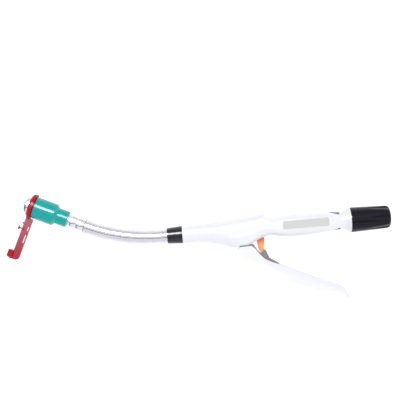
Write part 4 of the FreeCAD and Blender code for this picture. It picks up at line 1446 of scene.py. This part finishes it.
@dataclass
class Head:
    """Ringed ferrule, teal casing and domed anvil, built along the head's axis.

    Attributes:
        ferrule: Ends of the ferrule.
        ferrule_radius: Its outer radius.
        ferrule_bore: Radius of its bore.
        ferrule_stop: Thickness of the stop at the end of its bore.
        grooves: Places of its grooves, from its start.
        groove: Their width.
        groove_depth: Their depth.
        land_drop: How far the lands between them fall off at their edges.
        spigot: Outer and inner radius of the spigot that the casing sits on.
        spigot_length: Its length.
        casing_start: End of the casing's neck.
        neck_length: Length of the neck.
        neck_radius: Its radius.
        shoulder: Length of the slope between neck and barrel.
        barrel_radius: Radius of the barrel.
        mouth: End of the barrel.
        wall: The casing's wall.
        wall_step: How far behind the slope outside the one inside lies.
        ring_room: Length of the barrel that the mouth's dark ring of painted shadow takes.
        ring_ends: How far the ring reaches before and past the mouth.
        ring_drop: How far its lip lies below the barrel's surface.
        ring_edge: Slope of its rear edge.
        ring_gap: Clearance between it and the barrel.
        anvil_face: Place of the anvil's face.
        anvil_radius: The anvil's radius.
        anvil_rim: Height of its straight rim.
        anvil_edge: Rounding of the rim at the face, in two steps.
        anvil_height: Its whole height.
        washer_radius: Radius of the recess for its washer.
        washer_depth: Depth of that recess.
        hub_depth: Depth of the seat for its stem.
        stem_radius: Radius of that seat.
        pockets: Staple pockets in a row.
        pocket_depth: Their depth.
        pocket_share: Half the share of the row that they take.
        rows: Inner and outer radius of the rows.
    """

    ferrule: Pair = (0.8, 21.8)
    ferrule_radius: float = 9.0
    ferrule_bore: float = 7.6
    ferrule_stop: float = 0.9
    grooves: tuple[float, ...] = (9.6, 17.6)
    groove: float = 0.9
    groove_depth: float = 1.2
    land_drop: float = 0.55
    spigot: Pair = (8.4, 7.2)
    spigot_length: float = 9.0
    casing_start: float = 21.9
    neck_length: float = 13.4
    neck_radius: float = 9.6
    shoulder: float = 3.0
    barrel_radius: float = 13.0
    mouth: float = 64.3
    wall: float = 1.1
    wall_step: float = 1.0
    ring_room: float = 0.55
    ring_ends: Pair = (0.5, 0.25)
    ring_drop: float = 0.15
    ring_edge: Pair = (0.2, 0.3)
    ring_gap: float = 0.02
    anvil_face: float = 69.9
    anvil_radius: float = 12.5
    anvil_rim: float = 1.6
    anvil_edge: Pair = (0.35, 0.1)
    anvil_height: float = 8.7
    washer_radius: float = 8.3
    washer_depth: float = 1.9
    hub_depth: float = 4.1
    stem_radius: float = 3.85
    pockets: int = 10
    pocket_depth: float = 0.4
    pocket_share: float = 0.36
    rows: tuple[Pair, ...] = ((8.9, 9.7), (10.4, 11.2))

    def ferrule_form(self) -> Form:
        """Ferrule of three bright lands with dark grooves between, and its spigot.

        Returns:
            The closed form.
        """
        start, end = self.ferrule
        bore = self.ferrule_bore
        limits = [start] + [start + place for place in self.grooves] + [end]
        outline = [(start, bore)]
        for low, high in zip(limits, limits[1:]):
            low += self.groove / 2
            high -= self.groove / 2
            outline.append((low, self.ferrule_radius - self.groove_depth))
            for share in (0.0, 0.08, 0.25, 0.5, 0.75, 0.92, 1.0):
                drop = self.land_drop * (2 * share - 1) ** 4
                outline.append((low + (high - low) * share, self.ferrule_radius - drop))
            outline.append((high, self.ferrule_radius - self.groove_depth))
        outer, inner = self.spigot
        stop = end - self.ferrule_stop
        outline += [(end, outer), (end + self.spigot_length, outer),
                    (end + self.spigot_length, inner), (stop, inner), (stop, bore)]
        return turned("end_ferrule_turned", outline, 96)

    def casing_form(self) -> Form:
        """Casing with its neck, sloping shoulder and open barrel.

        Returns:
            The closed form.
        """
        start = self.casing_start
        shoulder = start + self.neck_length
        barrel = shoulder + self.shoulder
        neck_inner = self.neck_radius - self.wall
        inner = self.barrel_radius - self.wall
        end = self.mouth - self.ring_room
        form = turned("casing_moulding", [
            (start, neck_inner), (start, self.neck_radius), (shoulder, self.neck_radius),
            (barrel, self.barrel_radius), (end, self.barrel_radius), (end, inner),
            (barrel + self.wall_step, inner), (shoulder + self.wall_step, neck_inner)], 128)
        return form.bevel(0.35, 4, 20)

    def mouth_ring(self) -> Form:
        """Dark ring set into the casing's mouth, a painted shadow in the gap between the casing and
        the clip.

        Returns:
            The closed form.
        """
        before, past = self.ring_ends
        start = self.mouth - before
        end = self.mouth + past
        lip = self.barrel_radius - self.ring_drop
        inner = self.barrel_radius - self.wall + self.ring_gap
        along, down = self.ring_edge
        return turned("casing_mouth_ring", [
            (start, inner), (start, lip - down), (start + along, lip), (end, lip),
            (end, inner)], 96)

    def anvil_form(self) -> Form:
        """Domed anvil with staple pockets in its face and a recess for its washer.

        Returns:
            The closed form.
        """
        face = self.anvil_face
        dome = arc((0.0, 0.0), 1.0, 90, 0, 20)
        height = self.anvil_height - self.anvil_rim
        radii = [self.washer_radius] + [radius for row in self.rows for radius in row]
        outline = [(face + self.hub_depth, 0), (face + self.hub_depth, self.stem_radius),
                   (face + self.washer_depth, self.stem_radius),
                   (face + self.washer_depth, self.washer_radius)]
        outline += [(face, radius) for radius in radii]
        edge, eased = self.anvil_edge
        outline += [(face, self.anvil_radius - edge), (face + eased, self.anvil_radius - eased),
                    (face + edge, self.anvil_radius)]
        outline += [(face + self.anvil_rim + height * across, self.anvil_radius * up)
                    for across, up in dome]
        form = turned("anvil_cap_turned", outline, 80, solid=True)
        spacing = 360.0 / self.pockets

        def in_pocket(spot: Vector, normal: Vector) -> bool:
            """Whether a face is the bottom of a pocket.

            Args:
                spot: Its middle.
                normal: Its normal, which doesn't matter.

            Returns:
                True in a pocket.
            """
            if abs(spot.x - face) > eased / 2:
                return False
            radius = math.hypot(spot.y, spot.z)
            angle = math.degrees(math.atan2(spot.z, spot.y))
            for index, (low, high) in enumerate(self.rows):
                off = (angle - index * spacing / 2 + spacing / 2) % spacing - spacing / 2
                if low < radius < high and abs(off) < spacing * self.pocket_share:
                    return True
            return False

        form.pick_faces(in_pocket)
        form.extrude((self.pocket_depth, 0, 0))
        form.tidy()
        return form

    def build(self, dresser: Dresser) -> None:
        """Model and dress the ferrule, the casing with its dark ring of painted shadow, and the anvil.

        Args:
            dresser: Hands out finishes.
        """
        there = head_place()
        dresser.stand_in(self.ferrule_form().place(there).smooth(), "end_ferrule")
        dresser.stand_in(self.casing_form().place(there).smooth(), "casing")
        dresser.stand_in(self.anvil_form().place(there).smooth(), "anvil_cap")
        # The black ring paints the shadow in the gap between the casing and the clip.
        dresser.join(self.mouth_ring().place(there).smooth(), "casing", "black_plastic")


@dataclass
class TransportClip:
    """Red clip that keeps the anvil off the casing: open ring, arm with slots, peg and tab.

    Attributes:
        front: Side towards the casing.
        thickness: Distance from there to its other side.
        radius: Outer radius of the ring.
        wall: Wall of its rim.
        taper: Slope of its rim.
        web: Thickness of the web between rim and hub.
        hub_inner: Half the width of its mouth, which is the hub's inner radius.
        hub_wall: Wall of the hub.
        mouth_reach: How far the cutter of its mouth reaches.
        arm_width: Width of the arm.
        arm_half: Half its thickness.
        arm_end: End of the arm, from the head's axis.
        arm_lap: How far the arm reaches into the rim.
        lip: How far its end stands out past the ring's side.
        tab_length: Length of the finger tab.
        tab_depth: How far the tab stands out.
        tab_half: Half its thickness.
        tab_lap: How far it reaches into the arm.
        tab_cut: Height of the cut at its outer corner.
        border: Width of the border round its panels.
        panel_depth: Depth of the panels.
        peg_place: Place of the peg along the arm.
        peg: Radius and length of its stem.
        peg_head: Radius and thickness of its head.
        peg_lap: How far peg and nub reach into the arm.
        nub_place: Place of the nub along the arm.
        nub: Radius and length of the nub.
        edge: Rounding of the head's and the nub's edges.
        pad: Distances from the ring's far side to both sides of the pad.
        pad_half: Half the pad's length.
        pad_sides: How deep the pad reaches into the arm, and how far it stands out.
        slots: Ends of the slots in the arm.
        slot_place: Distance of the slots from the arm's rear edge.
        slot_width: Their width.
    """

    front: float = 64.6
    thickness: float = 4.7
    radius: float = 15.5
    wall: float = 1.9
    taper: float = 1.4
    web: float = 0.9
    hub_inner: float = 4.4
    hub_wall: float = 1.7
    mouth_reach: float = 30.0
    arm_width: float = 9.2
    arm_half: float = 1.8
    arm_end: float = 66.0
    arm_lap: float = 0.3
    lip: float = 1.0
    tab_length: float = 10.0
    tab_depth: float = 5.6
    tab_half: float = 4.2
    tab_lap: float = 0.8
    tab_cut: float = 1.6
    border: float = 0.9
    panel_depth: float = 0.5
    peg_place: float = 28.5
    peg: Pair = (0.8, 2.8)
    peg_head: Pair = (2.3, 1.8)
    peg_lap: float = 0.4
    nub_place: float = 21.7
    nub: Pair = (0.9, 1.8)
    edge: float = 0.3
    pad: Pair = (3.6, 1.6)
    pad_half: float = 1.6
    pad_sides: Pair = (0.1, 0.25)
    slots: tuple[Pair, ...] = ((24.0, 29.3), (34.3, 44.4))
    slot_place: float = 1.6
    slot_width: float = 1.3

    def ring_form(self) -> Form:
        """Open ring: tapered rim, web and hub.

        Returns:
            The closed form.
        """
        front = self.front
        back = front + self.thickness
        web = back - self.web
        low = self.radius - self.wall
        hub = self.hub_inner + self.hub_wall
        form = turned("transport_clip_moulding", [
            (front, self.hub_inner), (front, hub), (web, hub), (web, low), (front, low),
            (front, self.radius), (back - self.taper, self.radius),
            (back, self.radius - self.taper), (back, self.hub_inner)], 96)
        mouth = Form.block("mouth", (front - PAST, back + PAST), (-self.mouth_reach, 0),
                           (-self.hub_inner, self.hub_inner))
        return form.combine([mouth])

    def arm_form(self) -> Form:
        """Flat arm with two slots along its rear edge.

        Returns:
            The closed form.
        """
        front = self.front
        back = front + self.thickness
        rear = back - self.arm_width
        start = self.radius - self.wall + self.arm_lap
        end = self.arm_end
        turn = 4.0
        form = plate("clip_arm", [
            (back, start), (front, start), (rear + 0.6, start + 0.4), (rear, start + 1.4),
            (rear, end - turn), (rear + 0.3 * turn, end - 0.3 * turn), (rear + turn, end),
            (back + self.lip, end), (back + self.lip, end - self.tab_length),
            (back, end - self.tab_length)], -self.arm_half, self.arm_half)
        form.bevel(0.45, 3, 50)
        slot = rear + self.slot_place
        cuts = [Form.block("slot", (slot, slot + self.slot_width), (low, high), THROUGH)
                for low, high in self.slots]
        return form.combine(cuts)

    def tab_form(self) -> Form:
        """Finger tab with a raised border round a shallow panel on each side.

        Returns:
            The closed form.
        """
        back = self.front + self.thickness
        inner = back - self.tab_lap
        outer = back + self.tab_depth
        low = self.arm_end - self.tab_length
        form = plate("clip_tab", [
            (inner, low), (outer, low), (outer, self.arm_end - self.tab_cut),
            (back + self.lip, self.arm_end), (inner, self.arm_end)],
            -self.tab_half, self.tab_half)
        form.pick_faces(lambda spot, normal: abs(normal.z) > 0.9)
        bpy.ops.mesh.inset(thickness=self.border * MM, use_individual=True)
        sunk = {"value": -self.panel_depth * MM}
        bpy.ops.mesh.extrude_region_shrink_fatten(TRANSFORM_OT_shrink_fatten=sunk)
        return form.bevel(0.3, 3, 40)

    def peg_form(self) -> Form:
        """Peg with a flat round head, a small nub beside it and the pad under it.

        Returns:
            The closed form.
        """
        back = self.front + self.thickness
        root = back - self.peg_lap
        stem, length = self.peg
        head, thickness = self.peg_head
        seat = back + length
        top = seat + thickness
        form = turned("clip_peg", [
            (root, 0), (root, stem), (seat, stem), (seat, head - 0.2), (seat + self.edge, head),
            (top - self.edge, head), (top, head - self.edge), (top, 0)], 32, solid=True)
        form.place(Matrix.Translation(metres((0, self.peg_place, 0))))
        radius, height = self.nub
        tip = back + height
        nub = turned("nub", [(root, 0), (root, radius), (tip - self.edge, radius),
                             (tip, radius - self.edge), (tip, 0)], 24, solid=True)
        nub.place(Matrix.Translation(metres((0, self.nub_place, 0))))
        sunk, out = self.pad_sides
        pad = Form.block("pad", (back - self.pad[0], back - self.pad[1]),
                         (self.peg_place - self.pad_half, self.peg_place + self.pad_half),
                         (self.arm_half - sunk, self.arm_half + out))
        return form.combine([nub, pad.bevel(0.12, 2)], "UNION")

    def build(self, dresser: Dresser) -> None:
        """Model and dress the ring, the thin arm, and the tab with the peg.

        Args:
            dresser: Hands out finishes.
        """
        there = head_place()
        dresser.stand_in(self.ring_form().bevel(0.25, 3, 40).place(there).smooth(),
                         "transport_clip")
        # The arm's finish paints light along it: paler near the ring, deeper red towards the tab.
        dresser.join(self.arm_form().place(there).smooth(), "transport_clip", "red_arm_painted_light")
        dresser.join(self.tab_form().place(there).smooth(), "transport_clip")
        dresser.join(self.peg_form().place(there).smooth(), "transport_clip")


# Lever and latch

@dataclass
class Lever:
    """White lever cover over its grey core.

    Attributes:
        wall: The cover's wall.
        rib: Thickness of the ribs in it.
        rib_share: Their height as a share of the cover's.
        mouth: How far the cutter of its channel runs past its open side.
        square: Squareness of its sections.
        half: Half its width, apart from its ends.
        rounding: Inset that rounds its ends.
        core_half: Half the core's width.
        core_gap: Clearance round the core.
        slot_half: Half the width of the core's slot for the latch.
        pivot: Place of the lever's pin.
        pin_hole: Radius of the pin's hole.
        hub: Radius of the hub round it.
        prong: Radius of the prongs' ends.
        prong_lift: How high they stand over the pin.
        fork: Half the gap between the prongs.
        fork_x: Span of the cutter that opens the gap.
        fork_top: Its upper end.
        rows: Outer and inner side of the cover's sections, and half their width.
        skirt: Outline of the skirt at the cover's root.
        skirt_half: Half its width.
        outline: Outline of the core.
        latch_slot: Outline of the slot for the latch.
    """

    wall: float = 2.0
    rib: float = 1.4
    rib_share: float = 0.8
    mouth: float = 6.0
    square: float = 5.0
    half: float = 9.0
    rounding: float = 1.0
    core_half: float = 6.2
    core_gap: float = 0.1
    slot_half: float = 3.6
    pivot: Pair = (-9.0, -12.5)
    pin_hole: float = 2.05
    hub: float = 4.6
    prong: float = 2.2
    prong_lift: float = 12.5
    fork: float = 4.0
    fork_x: Pair = (-30.0, 10.0)
    fork_top: float = 20.0
    rows: tuple[tuple[Pair, Pair, float], ...] = (
        ((-15.2, -22.6), (2.8, -22.4), 9.0),
        ((-14.5, -29.9), (5.9, -27.5), 9.0),
        ((-9.0, -38.0), (9.3, -31.6), 9.0),
        ((0.0, -42.8), (14.0, -36.3), 9.0),
        ((9.5, -46.7), (20.2, -40.0), 9.0),
        ((19.1, -53.0), (27.5, -43.4), 9.3),
        ((30.3, -59.6), (37.5, -47.9), 9.6),
        ((53.2, -69.2), (59.5, -57.6), 9.6),
        ((76.1, -77.6), (81.5, -67.3), 9.0),
        ((94.0, -81.8), (98.0, -73.6), 8.0),
        ((102.0, -84.6), (106.4, -79.2), 6.7),
        ((108.3, -91.3), (110.4, -90.0), 5.5),
    )
    skirt: tuple[Pair, ...] = ((-14.6, -20.7), (-13.5, -20.3), (0.5, -20.0), (3.0, -22.6),
                               (2.0, -26.0), (-14.0, -26.0))
    skirt_half: float = 7.2
    outline: tuple[Pair, ...] = (
        (-13.6, -16.5), (-12.9, -25.5), (-9.5, -31.0), (4.0, -38.0), (17.0, -44.0),
        (28.5, -49.0), (32.4, -46.6), (31.2, -42.9), (26.3, -39.7), (20.8, -36.3),
        (18.5, -30.4), (16.7, -26.1), (14.3, -28.0), (11.6, -29.9), (7.4, -26.0),
        (3.7, -19.2), (-3.0, -17.4), (-4.4, -12.5), (-7.0, -3.0))
    latch_slot: tuple[Pair, ...] = (
        (1.5, -8.6), (1.5, -42.0), (7.5, -42.0), (10.3, -39.2), (41.0, -39.2), (41.0, -8.6))

    def stations(self) -> list[Station]:
        """Sections of the cover from root to tip.

        Returns:
            The sections in order.
        """
        sections = []
        for outer, inner, wide in self.rows:
            run = (inner[0] - outer[0], inner[1] - outer[1])
            tilt = math.degrees(math.atan2(-run[0], run[1]))
            sections.append(Station((outer[0] + inner[0]) / 2, (outer[1] + inner[1]) / 2,
                                    math.hypot(*run) / 2, wide, self.square, tilt))
        # A section close to the root keeps its corner tight.
        root, following = sections[:2]
        support = Station(root.x, root.y - 0.6, root.high, root.wide, self.square,
                          root.tilt + (following.tilt - root.tilt) * 0.1)
        return [root, support] + sections[1:]

    def channel(self) -> Form:
        """Room in the cover, open towards the handle and crossed by ribs.

        Returns:
            The closed form.
        """
        floor = []
        mouth = []
        webs = []
        hollow_rows = self.rows[1:9]
        for outer, inner, _ in hollow_rows:
            base = Vector(outer)
            across = Vector(inner) - base
            unit = across.normalized()
            floor.append(tuple(base + unit * self.wall))
            mouth.append(tuple(base + across + unit * self.mouth))
            aside = Vector((unit.y, -unit.x)) * self.rib / 2
            top = base + across * self.rib_share
            webs.append([tuple(spot) for spot in (base - aside, top - aside, top + aside,
                                                  base + aside)])
        reach = self.half - self.wall
        room = plate("channel", floor + mouth[::-1], -reach, reach)
        return room.combine([plate("web", web, -self.half, self.half) for web in webs[2:-1]])

    def cover(self) -> Form:
        """Long rounded cover with its channel.

        Returns:
            The closed form.
        """
        form = moulded("lever_cover_moulding", self.stations(), 3, self.rounding)
        form.combine([plate("skirt", list(self.skirt), -self.skirt_half, self.skirt_half)], "UNION")
        reach = self.core_half + self.core_gap
        return form.combine([self.channel(), plate("core_room", list(self.outline), -reach, reach)])

    def core(self) -> Form:
        """Grey core with its hub, two prongs and the slot for the latch.

        Returns:
            The closed form.
        """
        x, y = self.pivot
        top = y + self.prong_lift
        front = x - 1.0 - self.prong
        half = self.core_half
        side = list(self.outline) + [(front + 0.6, top - 3.0), (front + 0.4, y + 4.0)]
        form = plate("lever_core_moulding", side, -half, half)
        prong = plate("prong", [(front + 0.2, top - 3.2), (x + 1.2, top - 3.2), (x + 1.2, top),
                                (front + 0.2, top)], -half, half)
        form.combine([Form.pin("hub", self.hub, self.pivot, -half, half, 48), prong,
                      Form.pin("prong_end", self.prong, (x - 1.0, top), -half, half)], "UNION")
        form.combine([
            Form.block("fork", self.fork_x, (y + self.hub + 1.0, self.fork_top),
                       (-self.fork, self.fork)),
            plate("latch_slot", list(self.latch_slot), -self.slot_half, self.slot_half),
            Form.pin("pin_hole", self.pin_hole, self.pivot, *THROUGH)])
        return form.bevel(0.35, 3, 40)

    def build(self, dresser: Dresser) -> None:
        """Model and dress the cover and the core."""
        dresser.stand_in(self.cover().place(LIFT).smooth(), "lever_cover")
        dresser.stand_in(self.core().place(LIFT).smooth(), "lever_core")


@dataclass
class Latch:
    """Orange safety tongue on its hub.

    Attributes:
        pivot: Place of its pin.
        half: Half the tongue's width.
        hub: Radius of the hub.
        hub_half: Half the hub's width.
        bore: Radius of the pin's bore.
        outline: Outline of the tongue.
    """

    pivot: Pair = (13.0, -8.6)
    half: float = 3.1
    hub: float = 3.0
    hub_half: float = 6.2
    bore: float = 1.25
    outline: tuple[Pair, ...] = (
        (7.4, -8.6), (7.6, -14.6), (8.9, -24.0), (10.0, -27.2), (11.8, -28.6), (13.6, -28.6),
        (14.8, -27.0), (15.4, -21.6), (16.6, -13.6), (16.0, -8.6))

    def build(self, dresser: Dresser) -> None:
        """Model and dress the tongue.

        Args:
            dresser: Hands out finishes.
        """
        form = plate("safety_latch_moulding", list(self.outline), -self.half, self.half)
        form.bevel(0.5, 4, 40)
        hub = Form.pin("hub", self.hub, self.pivot, -self.hub_half, self.hub_half, 48)
        form.combine([hub], "UNION")
        form.combine([Form.pin("bore", self.bore, self.pivot, *THROUGH)])
        # Its orange finish darkens to red on the tongue's top, as painted shade where it enters the
        # handle.
        dresser.stand_in(form.place(LIFT).smooth(), "safety_latch")


# Studio

@dataclass(frozen=True)
class Lamp:
    """Area light that looks at the stapler.

    Attributes:
        name: The light's name.
        place: Its place in metres.
        size: Its length and width in metres.
        watts: Its power.
        glossy: Whether it shows in reflections.
        diffuse: Whether it lights matt surfaces.
    """

    name: str
    place: Spot
    size: Pair
    watts: float
    glossy: bool = True
    diffuse: bool = True

    def build(self) -> None:
        """Add the light, turned to the stapler's middle."""
        data = bpy.data.lights.new(self.name, "AREA")
        data.shape = "RECTANGLE"
        data.size, data.size_y = self.size
        data.energy = self.watts
        lamp = bpy.data.objects.new(self.name, data)
        back = (Vector(self.place) - LIFT.translation).normalized()
        side = Vector((0, 1, 0)).cross(back).normalized()
        axes = Matrix((side, back.cross(side), back)).transposed()
        lamp.matrix_world = Matrix.Translation(self.place) @ axes.to_4x4()
        lamp.visible_glossy = self.glossy
        lamp.visible_diffuse = self.diffuse
        bpy.context.scene.collection.objects.link(lamp)


@dataclass
class Studio:
    """Floor, lights and camera.

    Attributes:
        photo_size: Width of the photograph in pixels.
        focal: Focal length in pixels.
        sensor: Width of the camera's sensor in millimetres.
        height: Camera's height over the handle's middle plane, in metres.
        aim: Point of the middle plane at the photograph's centre.
        roll: Angle by which the handle rises to the right, in degrees.
        floor_size: Width of the floor in metres.
        floor_drop: How far it lies under the stapler.
        floor_colour: Its colour, linear.
        floor_glow: Strength of its own light.
        surround: Brightness of the room by degrees from overhead, towards +Y.
        tint: Colour of the room.
        dusk: Span towards the head's side, as the X of a direction, over which the room darkens.
        dusk_level: Share of its brightness that is left there.
        lamps: A soft lamp overhead, and a long strip that draws the highlights.
    """

    photo_size: float = 400.0
    focal: float = 996.0
    sensor: float = 36.0
    height: float = 1.18
    aim: Pair = (-0.0552, 0.039)
    roll: float = 5.0
    floor_size: float = 6.0
    floor_drop: float = 0.0002
    floor_colour: Colour = (0.4, 0.4, 0.405)
    floor_glow: float = 0.81
    surround: tuple[Pair, ...] = ((-90, 0.97), (-31, 0.97), (-28, 0.22), (-20, 0.22), (-16, 0.95),
                                  (50, 0.95), (60, 0.75), (90, 0.75))
    tint: Colour = (0.96, 0.955, 1.0)
    dusk: Pair = (-0.8, -0.5)
    dusk_level: float = 0.25
    lamps: tuple[Lamp, ...] = (
        Lamp("soft", (-0.1, 0.12, 1.25), (1.5, 0.6), 7.2, glossy=False),
        Lamp("streak", (-0.5, 0.6, 1.1), (1.5, 0.5), 50.0, diffuse=False))

    def build(self) -> None:
        """Make the whole studio."""
        self.floor()
        self.camera()
        self.room()
        for lamp in self.lamps:
            lamp.build()

    def floor(self) -> None:
        """Plain pale light table that the stapler lies on."""
        deselect()
        bpy.ops.mesh.primitive_plane_add(size=self.floor_size, location=(0, 0, -self.floor_drop))
        floor = bpy.context.object
        floor.name = "floor"
        mat = bpy.data.materials.new("studio_floor")
        mat.use_nodes = True
        set_sockets(mat.node_tree.nodes["Principled BSDF"], {
            "Base Color": (*self.floor_colour, 1.0), "Roughness": 0.9, "Specular IOR Level": 0.1,
            "Emission Color": (1.0, 1.0, 1.0, 1.0), "Emission Strength": self.floor_glow})
        floor.data.materials.append(mat)

    def camera(self) -> None:
        """Camera at the photograph's viewing angle, which is straight down."""
        data = bpy.data.cameras.new("camera")
        data.sensor_width = self.sensor
        data.lens = self.sensor * self.focal / self.photo_size
        data.clip_start = 0.01
        camera = bpy.data.objects.new("camera", data)
        place = Vector((*self.aim, self.height)) + LIFT.translation
        turn = Matrix.Rotation(-math.radians(self.roll), 4, "Z")
        camera.matrix_world = Matrix.Translation(place) @ turn
        bpy.context.scene.collection.objects.link(camera)
        bpy.context.scene.camera = camera

    def room(self) -> None:
        """Soft white surround with a dark gap, darker towards the head's side."""
        world = bpy.data.worlds.new("surround")
        world.use_nodes = True
        tree = world.node_tree
        look = tree.nodes.new("ShaderNodeTexCoord").outputs["Generated"]
        axes = add_node(tree, "SeparateXYZ", {"Vector": look}).outputs
        angle = add_node(tree, "Math", {0: axes["Y"], 1: axes["Z"]}, operation="ARCTAN2")
        quarter = math.pi / 2
        share = add_node(tree, "MapRange", {"Value": angle.outputs["Value"]},
                         {"From Min": -quarter, "From Max": quarter})
        ramp = add_node(tree, "ValToRGB", {"Fac": share.outputs["Result"]})
        stops = ramp.color_ramp.elements
        while len(stops) < len(self.surround):
            stops.new(1.0)
        for stop, (degrees, level) in zip(stops, self.surround):
            stop.position = (degrees + 90.0) / 180.0
            stop.color = (*(level * part for part in self.tint), 1.0)
        dark, light = self.dusk
        dusk = add_node(tree, "MapRange", {"Value": axes["X"]},
                        {"From Min": dark, "From Max": light, "To Min": self.dusk_level})
        background = tree.nodes["Background"]
        tree.links.new(dusk.outputs["Result"], background.inputs["Strength"])
        tree.links.new(ramp.outputs["Color"], background.inputs["Color"])
        bpy.context.scene.world = world


def main() -> None:
    """Build the stapler's looks in order."""
    logging.basicConfig(level=logging.INFO, format="%(message)s")
    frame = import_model()
    bpy.context.scene.view_settings.view_transform = "Standard"
    record = frame["record"]
    slots = {row["node"]: row["material_slot"] for row in record["subparts"]}
    bodies = {node: body for body, nodes in record["behaviour"]["bodies"].items()
              for node in nodes}
    Studio().build()
    dresser = Dresser(slots, bodies)
    for node, slot in slots.items():
        dresser.dress(frame["nodes"][node], slot)
    for assembly in (Housing(), Knob(), Shaft(), Head(), TransportClip(), Lever(), Latch()):
        assembly.build(dresser)
        LOG.info("built %s", type(assembly).__name__)


if __name__ == "__main__":
    main()
